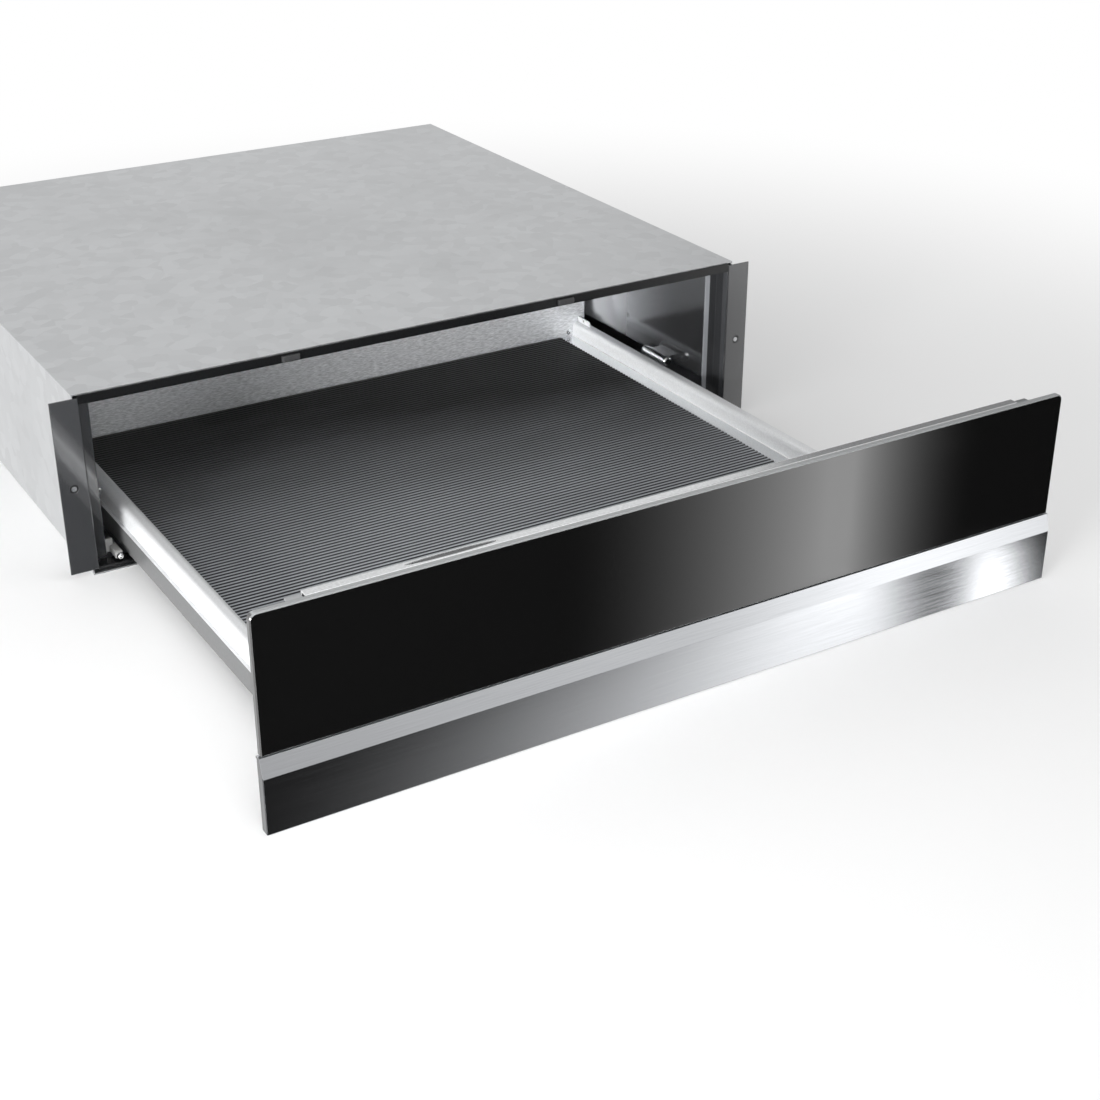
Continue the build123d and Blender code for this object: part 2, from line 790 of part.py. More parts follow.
def make_front_carrier():
    """Hollow inner front, open below and at its ends, with a shallow recess in its top."""
    half = carrier_width / 2
    low = panel_bottom + carrier_bottom
    top = panel_bottom + carrier_top
    with BuildPart() as carrier:
        block(-half, half, plate_back_y, carrier_rear_y, low, top)
        top_edges = carrier.edges().filter_by(Axis.X).group_by(Axis.Z)[-1]
        fillet(top_edges, radius=carrier_bend)
        block(-half, half, plate_back_y + carrier_sheet, carrier_rear_y - carrier_sheet,
              low, top - carrier_sheet, mode=Mode.SUBTRACT)
        with BuildSketch(Plane.XY.offset(top - recess_depth)):
            with Locations((recess_middle, (plate_back_y + carrier_rear_y) / 2)):
                Ellipse(recess_length / 2, recess_width / 2)
        extrude(amount=2 * recess_depth, mode=Mode.SUBTRACT)
        for side in (-1, 1):
            for plane in front_screw_planes(side):
                drill(plane, small_hole_r, corner_sheet + sheet + 2 * carrier_sheet)
    keep(carrier, "front_carrier")


def make_panel_clips():
    """Two folded tabs behind the panel, one beside each end of the carrier."""
    start = carrier_width / 2 + clip_gap
    top = panel_bottom + carrier_top - clip_sheet
    with BuildPart() as clips:
        for side in (-1, 1):
            block(side * start, side * (start + clip_width), plate_back_y, plate_back_y + clip_sheet,
                  top - clip_height, top)
            block(side * start, side * (start + clip_width), plate_back_y, plate_back_y + clip_depth,
                  top - clip_sheet, top)
    keep(clips, "panel_clips")


def front_screw_planes(side):
    """Seats of the two screws of one corner bracket."""
    z = (corner_bottom + floor_under) / 2
    middle = inner_x - sheet - corner_width / 2
    seat = carrier_rear_y + sheet + corner_sheet
    return [facing(side * (middle + step * front_screw_spacing / 2), seat, z, (0, 1, 0)) for step in (-1, 1)]


def make_corner_bracket(side):
    """Angle bracket under the tray, behind the tray's front fold."""
    outer = inner_x - sheet
    seat = carrier_rear_y + sheet
    with BuildPart() as bracket:
        block(side * (outer - corner_width), side * outer, seat, seat + corner_sheet,
              corner_bottom, floor_under)
        block(side * (outer - corner_sheet), side * outer, seat, seat + corner_length,
              corner_bottom, floor_under)
        for plane in front_screw_planes(side):
            drill(plane, small_hole_r, 2 * corner_sheet)
    keep(bracket, named("corner_bracket", side))


def make_front_screws():
    with BuildPart() as screws:
        for side in (-1, 1):
            for plane in front_screw_planes(side):
                small_screw(plane, front_screw_length)
    keep(screws, "front_screws")


# Tray of the drawer

def back_screw_plane(side):
    """Seat of a screw at the back wall's lower corner."""
    return facing(side * back_screw_x, back_front_y, floor_height + back_screw_rise, (0, -1, 0))


def make_tray_floor():
    """Floor with short folds down along its front and sides, and an upstand behind the back wall."""
    rear = back_front_y + 2 * sheet
    fold = floor_under - floor_flange
    with BuildPart() as floor:
        block(-inner_x, inner_x, carrier_rear_y, rear, floor_under, floor_height)
        block(-inner_x, inner_x, carrier_rear_y, carrier_rear_y + sheet, corner_bottom, floor_under)
        for side in (-1, 1):
            block(side * (inner_x - sheet), side * inner_x, carrier_rear_y, rear, fold, floor_under)
            for plane in front_screw_planes(side):
                drill(plane, small_hole_r, corner_sheet + 2 * sheet)
        block(-inner_x, inner_x, rear - sheet, rear, floor_height, floor_height + floor_upstand)
        for side in (-1, 1):
            drill(back_screw_plane(side), small_hole_r, back_screw_length)
    keep(floor, "tray_floor")


def profile_corners(side, inset):
    """Corners of the side profile's outside, or of its hollow at an inset of one sheet."""
    low = skirt_bottom
    top = profile_top - inset
    ledge = ledge_height - inset
    corners = [(inner_x + inset, low), (inner_x + inset, top), (wall_x - inset, top),
               (wall_x - inset, ledge), (skirt_x - inset, ledge), (skirt_x - inset, low)]
    return [(side * x, z) for x, z in corners]


def make_side_profile(side):
    """Folded hollow wall, open below, with a stepped skirt and a holed tab at its rear."""
    length = back_front_y - carrier_rear_y
    rear_plane = Plane(origin=(0, back_front_y, 0), x_dir=(1, 0, 0), z_dir=(0, -1, 0))
    tab_x = (inner_x + wall_x) / 2
    with BuildPart() as profile:
        for inset, mode in ((0, Mode.ADD), (profile_sheet, Mode.SUBTRACT)):
            with BuildSketch(rear_plane):
                with BuildLine():
                    Polyline(*profile_corners(side, inset), close=True)
                make_face()
                fillet(vertices().group_by(Axis.Y)[-1], radius=profile_bend - inset)
            extrude(amount=length, mode=mode)
        with BuildSketch(Plane(origin=(side * tab_x, 0, 0), x_dir=(0, 1, 0), z_dir=(1, 0, 0))):
            with Locations((back_front_y - tab_length / 2, profile_top + tab_height / 2)):
                Rectangle(tab_length, tab_height)
            fillet(vertices().group_by(Axis.Y)[-1].sort_by(Axis.X)[0], radius=tab_height / 2)
            with Locations((back_front_y - tab_length / 2, profile_top)):
                Rectangle(tab_length, profile_sheet)
        extrude(amount=profile_sheet / 2, both=True)
        drill(facing(side * (tab_x + profile_sheet / 2), back_front_y - tab_hole_inset,
                     profile_top + tab_height / 2, (side, 0, 0)), tab_hole_r, profile_sheet)
        for plane in rail_rivet_planes(side):
            drill(plane, small_hole_r, 2 * profile_sheet)
    keep(profile, named("side_profile", side))


def make_drawer_back():
    """Tall back wall, folded back along its top and sides."""
    top = floor_height + back_height
    rear = back_front_y + back_hem
    with BuildPart() as back:
        block(-wall_x, wall_x, back_front_y, back_front_y + sheet, floor_height, top)
        block(-wall_x, wall_x, back_front_y, rear, top - sheet, top)
        block(-wall_x, wall_x, rear - sheet, rear, top - back_lip, top)
        for side in (-1, 1):
            block(side * (wall_x - sheet), side * wall_x, back_front_y, rear, floor_height, top)
            drill(back_screw_plane(side), small_hole_r, back_screw_length)
        bend = back.edges().filter_by(Axis.X).group_by(Axis.Z)[-1].sort_by(Axis.Y)[0]
        fillet(bend, radius=flange_bend)
    keep(back, "drawer_back")


def make_back_screws():
    with BuildPart() as screws:
        for side in (-1, 1):
            small_screw(back_screw_plane(side), back_screw_length)
    keep(screws, "back_screws")


def make_ribbed_mat():
    """Rubber mat with fine ribs across the drawer, each rib narrower at its crest."""
    start = carrier_rear_y + mat_end_gap
    end = back_front_y - mat_end_gap
    low = floor_height + mat_base
    crest = low + rib_height
    count = int((end - start) / rib_pitch)
    margin = (end - start - count * rib_pitch) / 2
    outline = [(start, floor_height), (start, low)]
    for i in range(count):
        middle = start + margin + (i + 0.5) * rib_pitch
        outline += [(middle - rib_foot / 2, low), (middle - rib_crest / 2, crest),
                    (middle + rib_crest / 2, crest), (middle + rib_foot / 2, low)]
    outline += [(end, low), (end, floor_height)]
    with BuildPart() as mat:
        with BuildSketch(Plane(origin=(mat_left_gap - inner_x, 0, 0), x_dir=(0, 1, 0), z_dir=(1, 0, 0))):
            with BuildLine():
                Polyline(*outline, close=True)
            make_face()
        extrude(amount=mat_width)
    keep(mat, "ribbed_mat")


def main():
    os.makedirs("parts", exist_ok=True)
    make_housing_base()
    make_housing_back()
    make_top_cover()
    make_top_front_rail()
    make_bottom_front_rail()
    make_closing_buffers()
    make_ball_studs()
    make_case_screws()
    make_mounting_screws()
    make_rail_supports()
    make_rail_screws()
    make_rail_stops()
    make_drawer_rail_screws()
    make_ejector_body()
    make_ejector_plunger()
    make_ejector_tip()
    make_ejector_spring()
    make_ejector_striker()
    make_front_plate()
    make_front_glass()
    make_glass_tape()
    make_front_carrier()
    make_panel_clips()
    make_front_screws()
    make_tray_floor()
    make_drawer_back()
    make_back_screws()
    make_ribbed_mat()
    for side in (-1, 1):
        make_side_sheet(side)
        make_liner(side)
        make_front_flange(side)
        make_locating_bracket(side)
        make_guide_barrel(side)
        make_cabinet_rail(side)
        make_middle_rail(side)
        make_drawer_rail(side)
        make_outer_cage(side)
        make_inner_cage(side)
        make_corner_bracket(side)
        make_side_profile(side)


main()
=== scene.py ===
import math

import bmesh
import bpy
from bpy.props import FloatProperty, FloatVectorProperty, IntProperty, PointerProperty
from mathutils import Matrix, Vector


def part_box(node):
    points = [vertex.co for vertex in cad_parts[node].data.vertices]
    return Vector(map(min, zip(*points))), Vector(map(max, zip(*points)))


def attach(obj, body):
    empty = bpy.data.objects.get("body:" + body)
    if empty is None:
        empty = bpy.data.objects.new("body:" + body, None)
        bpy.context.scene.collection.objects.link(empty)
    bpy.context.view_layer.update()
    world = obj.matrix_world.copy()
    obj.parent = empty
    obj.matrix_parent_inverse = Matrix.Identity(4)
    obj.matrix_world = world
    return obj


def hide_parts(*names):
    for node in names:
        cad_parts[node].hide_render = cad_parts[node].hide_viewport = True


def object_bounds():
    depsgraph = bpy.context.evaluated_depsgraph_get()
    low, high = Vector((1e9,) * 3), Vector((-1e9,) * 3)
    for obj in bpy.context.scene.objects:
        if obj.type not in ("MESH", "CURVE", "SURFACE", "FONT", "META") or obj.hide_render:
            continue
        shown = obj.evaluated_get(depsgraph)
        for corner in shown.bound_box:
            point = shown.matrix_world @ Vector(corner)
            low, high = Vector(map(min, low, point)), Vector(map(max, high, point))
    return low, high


bl_info = {
    "name": "Built-in drawer looks",
    "version": (1, 0, 0),
    "blender": (4, 5, 0),
    "location": "3D View > Sidebar > Drawer",
    "description": "Finishes, fastenings and studio for a built-in storage drawer",
    "category": "Object",
}

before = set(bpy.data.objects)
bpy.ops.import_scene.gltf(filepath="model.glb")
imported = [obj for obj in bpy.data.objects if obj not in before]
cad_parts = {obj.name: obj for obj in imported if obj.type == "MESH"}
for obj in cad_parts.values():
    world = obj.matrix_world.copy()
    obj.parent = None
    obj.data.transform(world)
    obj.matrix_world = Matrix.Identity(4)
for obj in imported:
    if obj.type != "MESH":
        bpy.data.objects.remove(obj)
CAD_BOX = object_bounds()
SIDES = ("left", "right")
SIGNS = (-1, 1)

# The scale of a fine texture, and how strongly glass and gloss enamel mirror.
FINE_GRAIN = 900.0
GLOSS_IOR = 1.9
SHARP_ANGLE = math.radians(35.0)


# Settings

class CameraSettings(bpy.types.PropertyGroup):
    """Where the camera stands and where it looks."""
    place: FloatVectorProperty(
        name="Place", description="Where the camera stands", subtype="TRANSLATION", unit="LENGTH",
        default=(-0.5969, -1.1549, 0.6120))
    turn: FloatProperty(
        name="Turn", description="How far it looks to the right of straight back", subtype="ANGLE",
        default=math.radians(31.226))
    dip: FloatProperty(
        name="Dip", description="How far it looks down", subtype="ANGLE", default=math.radians(27.189))
    lens: FloatProperty(
        name="Lens", description="Focal length in millimetres", unit="CAMERA", default=59.80)


class StudioSettings(bpy.types.PropertyGroup):
    """The floor, the lamps and what the metal mirrors."""
    floor_colour: FloatVectorProperty(
        name="Floor", description="Colour of the floor", subtype="COLOR", default=(0.93, 0.93, 0.93))
    floor_reach: FloatProperty(
        name="Floor reach", description="Half the floor's side", unit="LENGTH", default=30.0)
    floor_fade: FloatProperty(
        name="Floor fade", description="Distance at which the floor has faded to white", unit="LENGTH",
        default=1.2)
    key_power: FloatProperty(
        name="Key lamp", description="Power of the large lamp above", unit="POWER", default=5.0)
    side_power: FloatProperty(
        name="Side lamp", description="Power of the lamp at the left", unit="POWER", default=6.0)
    front_power: FloatProperty(
        name="Front lamp", description="Power of the low lamp in front", unit="POWER", default=2.0)
    low_power: FloatProperty(
        name="Low lamp", description="Power of the low lamp at the left of the opening", unit="POWER",
        default=9.0)
    sky_level: FloatProperty(
        name="Room light", description="Level of the light from above and behind", default=0.80)
    room_level: FloatProperty(
        name="Whole room", description="Share of all room light, also in reflections", default=0.80)
    card_level: FloatProperty(
        name="Dark card", description="Level of the dark card that the front mirrors", default=0.020)
    glass_strip_level: FloatProperty(
        name="Upper light strip", description="Level of the strip that the glass mirrors", default=3.0)
    steel_strip_level: FloatProperty(
        name="Lower light strip", description="Level of the strip that the steel mirrors", default=1.8)
    side_level: FloatProperty(
        name="Side walls", description="Level of the room's sides in reflections", default=0.32)
    white_level: FloatProperty(
        name="White ground", description="Level of the ground behind and beside in reflections",
        default=1.30)


class FinishSettings(bpy.types.PropertyGroup):
    """Colours of the finishes, and where the ledge and the dent lie."""
    zinc: FloatVectorProperty(
        name="Zinc", description="Zinc-coated housing sheet", subtype="COLOR", default=(0.60, 0.61, 0.62))
    enamel: FloatVectorProperty(
        name="Dark enamel", description="Flanges and liners", subtype="COLOR",
        default=(0.030, 0.031, 0.033))
    liner: FloatVectorProperty(
        name="Liner", description="Polished side linings", subtype="COLOR", default=(0.50, 0.51, 0.53))
    front_steel: FloatVectorProperty(
        name="Front steel", description="Brushed strip", subtype="COLOR", default=(0.60, 0.612, 0.632))
    back_steel: FloatVectorProperty(
        name="Back steel", description="Back wall", subtype="COLOR", default=(0.68, 0.69, 0.705))
    # Below the ledge the walls carry painted shade.
    ledge: FloatProperty(
        name="Ledge", description="Height of the walls' ledge, below which they are duller", unit="LENGTH",
        default=0.02415)
    # The dent is drawn as painted shade on the inner front.
    dent_middle: FloatProperty(
        name="Dent place", description="Where the inner front's dent lies, from the drawer's middle",
        unit="LENGTH", default=-0.169)
    dent_length: FloatProperty(
        name="Dent length", description="Length of the dent in the inner front", unit="LENGTH", default=0.060)
    dent_width: FloatProperty(
        name="Dent width", description="Width of the dent in the inner front", unit="LENGTH", default=0.0044)
    silver: FloatVectorProperty(
        name="Silver", description="Walls, floor and inner front", subtype="COLOR",
        default=(0.80, 0.81, 0.82))
    slide: FloatVectorProperty(
        name="Slide steel", description="Ball slides", subtype="COLOR", default=(0.50, 0.51, 0.52))
    bright: FloatVectorProperty(
        name="Bright steel", description="Studs, barrels, balls", subtype="COLOR",
        default=(0.80, 0.81, 0.82))
    glass: FloatVectorProperty(
        name="Glass", description="Black glass", subtype="COLOR", default=(0.0025, 0.0025, 0.0025))
    rubber: FloatVectorProperty(
        name="Mat rubber", description="Ribbed mat", subtype="COLOR", default=(0.050, 0.052, 0.055))
    soft_rubber: FloatVectorProperty(
        name="Soft rubber", description="Buffers and stops", subtype="COLOR",
        default=(0.025, 0.025, 0.026))
    plastic: FloatVectorProperty(
        name="Pale plastic", description="Locating brackets", subtype="COLOR", default=(0.24, 0.24, 0.235))
    tape: FloatVectorProperty(
        name="Tape", description="Bonding tape", subtype="COLOR", default=(0.03, 0.03, 0.03))


class ScrewSettings(bpy.types.PropertyGroup):
    """Sizes of the cross-head screws, whose heads are domed pan heads or countersunk."""
    pan_radius: FloatProperty(
        name="Pan head", description="Radius of a pan head", unit="LENGTH", default=0.0026)
    pan_rim: FloatProperty(
        name="Pan head rim", description="Height of a pan head's rim", unit="LENGTH", default=0.0006)
    pan_rise: FloatProperty(
        name="Pan head rise", description="Height of the packed pan heads over their sheet", unit="LENGTH",
        default=0.001)
    pan_shank: FloatProperty(
        name="Pan head shank", description="Radius of a pan head's shank", unit="LENGTH", default=0.0015)
    sunk_radius: FloatProperty(
        name="Countersunk head", description="Radius of a countersunk head", unit="LENGTH", default=0.0031)
    sunk_shank: FloatProperty(
        name="Countersunk shank", description="Radius of a countersunk head's shank", unit="LENGTH",
        default=0.00175)
    dome: FloatProperty(
        name="Dome", description="Rise of a pan head's middle over its rim, share of its radius",
        subtype="FACTOR", default=0.22)
    slot_depth: FloatProperty(
        name="Cross depth", description="Depth of the cross, share of the head's radius",
        subtype="FACTOR", default=0.34)
    segments: IntProperty(name="Squares", description="Squares across a head", default=9)


# Shader nodes

def fill(tree, node, values):
    """Links a node's inputs to sockets, or sets them to plain values."""
    for name, value in values.items():
        if isinstance(value, bpy.types.NodeSocket):
            tree.links.new(value, node.inputs[name])
        else:
            node.inputs[name].default_value = value


def add(tree, kind, values=None, **settings):
    """Adds a node, sets its properties, then fills its inputs."""
    made = tree.nodes.new(kind)
    for name, value in settings.items():
        setattr(made, name, value)
    fill(tree, made, values or {})
    return made


def maths(tree, operation, *values, clamp=False):
    """A Math node's result."""
    made = add(tree, "ShaderNodeMath", dict(enumerate(values)), operation=operation, use_clamp=clamp)
    return made.outputs[0]


def ramp(tree, value, low, high, start=0.0, end=1.0, shape="SMOOTHSTEP"):
    """Value between low and high, as a number from start to end."""
    return add(tree, "ShaderNodeMapRange",
               {"Value": value, "From Min": low, "From Max": high, "To Min": start, "To Max": end},
               interpolation_type=shape).outputs[0]


def mixed(tree, mask, first, second):
    """A value between two values."""
    return add(tree, "ShaderNodeMix", {0: mask, 2: first, 3: second}).outputs[0]


def tint(tree, mask, first, second):
    """A colour between two colours."""
    return add(tree, "ShaderNodeMix", {0: mask, 6: first, 7: second}, data_type="RGBA").outputs[2]


def axes(tree, vector):
    """The X, Y and Z of a vector."""
    return add(tree, "ShaderNodeSeparateXYZ", {0: vector}).outputs


def facing(tree):
    """The direction that the surface looks in."""
    return tree.nodes.new("ShaderNodeNewGeometry").outputs["Normal"]


def stretched(tree, vector, scale):
    """Coordinates multiplied by a scale on each axis."""
    return add(tree, "ShaderNodeVectorMath", {0: vector, 1: scale}, operation="MULTIPLY").outputs[0]


def noise(tree, vector, scale, detail=3.0, rough=0.55):
    """A noise value on a vector."""
    return add(tree, "ShaderNodeTexNoise",
               {"Vector": vector, "Scale": scale, "Detail": detail, "Roughness": rough}).outputs[0]


def new_group(name, inputs, outputs):
    """A shader node group with named sockets, its input node and its output node."""
    tree = bpy.data.node_groups.new(name, "ShaderNodeTree")
    kinds = {"value": "NodeSocketFloat", "vector": "NodeSocketVector"}
    for label, kind, default in inputs:
        socket = tree.interface.new_socket(label, in_out="INPUT", socket_type=kinds[kind])
        if default is not None:
            socket.default_value = default
    for label, kind in outputs:
        tree.interface.new_socket(label, in_out="OUTPUT", socket_type=kinds[kind])
    return tree, tree.nodes.new("NodeGroupInput"), tree.nodes.new("NodeGroupOutput")


def brushed_grain_group():
    """Fine lines along one axis, as brushing leaves on steel."""
    tree, given, out = new_group(
        "brushed_grain",
        [("Vector", "vector", None), ("Stretch", "vector", (1.0, 1.0, 1.0)), ("Scale", "value", 1.0)],
        [("Height", "value"), ("Streaks", "value")])
    lines = stretched(tree, given.outputs["Vector"], given.outputs["Stretch"])
    coarse = noise(tree, lines, given.outputs["Scale"], 4.0, 0.6)
    fine = noise(tree, lines, maths(tree, "MULTIPLY", given.outputs["Scale"], 3.7), 2.0, 0.7)
    fill(tree, out, {"Height": maths(tree, "MULTIPLY_ADD", fine, 0.5, coarse),
                     "Streaks": ramp(tree, coarse, 0.30, 0.70)})
    return tree


def edge_wear_group():
    """Rounded edges for the light to catch, and a mask that is bright along them."""
    tree, given, out = new_group(
        "edge_wear", [("Width", "value", 0.0004)], [("Normal", "vector"), ("Mask", "value")])
    rounded = add(tree, "ShaderNodeBevel", {"Radius": given.outputs["Width"]}, samples=4).outputs[0]
    match = add(tree, "ShaderNodeVectorMath", {0: rounded, 1: facing(tree)}, operation="DOT_PRODUCT")
    fill(tree, out, {"Normal": rounded, "Mask": ramp(tree, match.outputs["Value"], 0.995, 0.80)})
    return tree


def dust_group():
    """Uneven fine dust on what faces up."""
    tree, given, out = new_group(
        "dust", [("Vector", "vector", None), ("Scale", "value", 30.0), ("Amount", "value", 0.3)],
        [("Mask", "value")])
    upward = ramp(tree, axes(tree, facing(tree))[2], 0.2, 0.9)
    cloud = noise(tree, given.outputs["Vector"], given.outputs["Scale"], 6.0, 0.65)
    level = maths(tree, "MULTIPLY", ramp(tree, cloud, 0.38, 0.75), upward)
    fill(tree, out, {"Mask": maths(tree, "MULTIPLY", level, given.outputs["Amount"])})
    return tree


def spangle_group():
    """The frosted crystals of a zinc coat."""
    tree, given, out = new_group(
        "zinc_spangle", [("Vector", "vector", None), ("Scale", "value", 70.0)],
        [("Shade", "value"), ("Height", "value")])
    bent = stretched(tree, noise(tree, given.outputs["Vector"], 45.0, 2.0), (0.006, 0.006, 0.006))
    moved = add(tree, "ShaderNodeVectorMath", {0: given.outputs["Vector"], 1: bent}, operation="ADD")
    cells = add(tree, "ShaderNodeTexVoronoi", {"Vector": moved.outputs[0], "Scale": given.outputs["Scale"]},
                feature="F1")
    shade = add(tree, "ShaderNodeSeparateColor", {0: cells.outputs["Color"]}).outputs[0]
    fill(tree, out, {"Shade": shade, "Height": cells.outputs["Distance"]})
    return tree


GROUP_MAKERS = {
    "brushed_grain": brushed_grain_group,
    "edge_wear": edge_wear_group,
    "dust": dust_group,
    "zinc_spangle": spangle_group,
}


def effect(tree, name, values):
    """A shared effect, placed in a material with its own values."""
    group = bpy.data.node_groups.get(name) or GROUP_MAKERS[name]()
    return add(tree, "ShaderNodeGroup", values, node_tree=group).outputs


def surface(name):
    """A new material: its node tree, its shader and its Object coordinates."""
    material = bpy.data.materials.new(name)
    material.use_nodes = True
    tree = material.node_tree
    shader = tree.nodes["Principled BSDF"]
    place = tree.nodes.new("ShaderNodeTexCoord").outputs["Object"]
    return material, tree, shader, place


def raise_surface(tree, shader, height, depth, normal=None):
    """Feeds a relief of a depth in metres to the shader's normal, over a first normal if there is one."""
    bump = add(tree, "ShaderNodeBump", {"Strength": 1.0, "Distance": depth, "Height": height})
    if normal is not None:
        tree.links.new(normal, bump.inputs["Normal"])
    tree.links.new(bump.outputs[0], shader.inputs["Normal"])


def edged(tree, edge, amount, body, pale):
    """A body colour that turns pale along its edges by an amount."""
    return tint(tree, maths(tree, "MULTIPLY", edge["Mask"], amount), body, pale)


def opaque(colour, factor=1.0):
    """A colour with its alpha, made darker or lighter."""
    return (*(min(1.0, part * factor) for part in colour), 1.0)


def end_face(tree):
    """A mask of the faces that look left or right."""
    return ramp(tree, maths(tree, "ABSOLUTE", axes(tree, facing(tree))[0]), 0.35, 0.65)


# Finishes

def brushed_metal(name, colour, rough, stretch, scale, depth, contrast, rough_spread, wear=0.0004,
                  metallic=1.0, along=0.0, side_shade=1.0):
    """Brushed steel: streaks in its colour, roughness and relief, bright along its edges, with painted shade
    on its end faces where side_shade is under one.
    """
    material, tree, shader, place = surface(name)
    grain = effect(tree, "brushed_grain", {"Vector": place, "Stretch": stretch, "Scale": scale})
    edge = effect(tree, "edge_wear", {"Width": wear})
    body = tint(tree, grain["Streaks"], opaque(colour, 1.0 - contrast), opaque(colour, 1.0 + contrast))
    wear_and_painted_shade = edged(tree, edge, 0.5, body, opaque(colour, 1.25))
    # Painted shade: the end faces are darkened by side_shade.
    if side_shade < 1.0:
        wear_and_painted_shade = tint(tree, end_face(tree), wear_and_painted_shade, opaque(colour, side_shade))
    shine = ramp(tree, grain["Streaks"], 0.0, 1.0, rough - rough_spread, rough + rough_spread)
    fill(tree, shader, {"Base Color": wear_and_painted_shade, "Roughness": shine, "Metallic": metallic,
                        "Anisotropic": along, "Anisotropic Rotation": 0.25})
    raise_surface(tree, shader, grain["Height"], depth, edge["Normal"])
    return material


def polished_lining(name, colour, rough=0.13):
    """Polished dark lining, faintly streaked, with painted light and shade: darker near the opening, paler
    and duller towards the rear.
    """
    material, tree, shader, place = surface(name)
    grain = effect(tree, "brushed_grain", {"Vector": place, "Stretch": (60.0, 60.0, 60.0), "Scale": 9.0})
    edge = effect(tree, "edge_wear", {"Width": 0.0004})
    depth_in = axes(tree, place)[1]
    # Painted light and shade: dark near the opening, paler and less metallic towards the rear.
    shade = tint(tree, ramp(tree, depth_in, 0.05, 0.22), opaque(colour, 0.25), opaque(colour, 1.6))
    fill(tree, shader, {"Base Color": shade,
                        "Metallic": ramp(tree, depth_in, 0.10, 0.20, 0.85, 0.25),
                        "Roughness": ramp(tree, grain["Streaks"], 0.0, 1.0, rough - 0.03, rough + 0.03)})
    raise_surface(tree, shader, grain["Height"], 4e-6, edge["Normal"])
    return material


def satin_metal(name, colour, rough, speckle, depth, dent_shade=None):
    """Fine matt metal with a faint speckle and bright bends.

    A dent is its middle and, on each axis, one over its half length, and it is painted shade: the metal is
    painted dark there.
    """
    material, tree, shader, place = surface(name)
    fine = noise(tree, place, speckle, 3.0, 0.7)
    broad = noise(tree, place, 9.0, 2.0)
    edge = effect(tree, "edge_wear", {"Width": 0.0005})
    body = tint(tree, ramp(tree, fine, 0.35, 0.65), opaque(colour, 0.93), opaque(colour, 1.05))
    wear_and_painted_shade = edged(tree, edge, 0.6, body, opaque(colour, 1.25))
    # Painted shade in the dent: the metal is painted dark there.
    if dent_shade is not None:
        middle, shares = dent_shade
        away = add(tree, "ShaderNodeVectorMath", {0: place, 1: middle}, operation="SUBTRACT").outputs[0]
        reach = add(tree, "ShaderNodeVectorMath", {0: stretched(tree, away, shares)}, operation="LENGTH")
        wear_and_painted_shade = tint(tree, ramp(tree, reach.outputs["Value"], 1.04, 0.88), wear_and_painted_shade, opaque(colour, 0.22))
    shine = maths(tree, "MULTIPLY_ADD", ramp(tree, broad, 0.3, 0.7), 0.06, rough - 0.03)
    fill(tree, shader, {"Base Color": wear_and_painted_shade, "Roughness": shine, "Metallic": 1.0})
    raise_surface(tree, shader, fine, depth, edge["Normal"])
    return material


def ringed_metal(name, colour, rough, across, height, bright_radius):
    """Metal of two screw heads, at plus and minus across, with painted shade: dark round their middles."""
    material, tree, shader, place = surface(name)
    x, _, z = axes(tree, place)
    sideways = maths(tree, "SUBTRACT", maths(tree, "ABSOLUTE", x), across)
    upwards = maths(tree, "SUBTRACT", z, height)
    squares = [maths(tree, "POWER", part, 2.0) for part in (sideways, upwards)]
    away = maths(tree, "SQRT", maths(tree, "ADD", *squares))
    # Painted shade round each head's middle.
    rim_shade = ramp(tree, away, 0.9 * bright_radius, 1.2 * bright_radius)
    scuffed = tint(tree, noise(tree, place, 700.0), opaque(colour, 0.9), opaque(colour, 1.1))
    shine = ramp(tree, noise(tree, place, 300.0), 0.3, 0.7, rough - 0.04, rough + 0.04)
    fill(tree, shader, {"Base Color": tint(tree, rim_shade, scuffed, opaque(colour, 0.08)), "Roughness": shine,
                        "Metallic": 1.0})
    return material


def zinc_sheet(name, colour, rough=0.36):
    """Zinc-coated sheet with its crystals and a little handling grime."""
    material, tree, shader, place = surface(name)
    spangle = effect(tree, "zinc_spangle", {"Vector": place, "Scale": 85.0})
    edge = effect(tree, "edge_wear", {"Width": 0.0004})
    grime = noise(tree, place, 5.0, 5.0, 0.6)
    body = tint(tree, spangle["Shade"], opaque(colour, 0.93), opaque(colour, 1.06))
    dull = tint(tree, ramp(tree, grime, 0.45, 0.80, 0.0, 0.35), body, opaque(colour, 0.72))
    wear_and_painted_shade = edged(tree, edge, 0.5, dull, opaque(colour, 1.3))
    shine = ramp(tree, spangle["Shade"], 0.0, 1.0, rough - 0.02, rough + 0.03)
    fill(tree, shader, {"Base Color": wear_and_painted_shade, "Roughness": shine, "Metallic": 1.0})
    raise_surface(tree, shader, spangle["Height"], 3e-6, edge["Normal"])
    return material


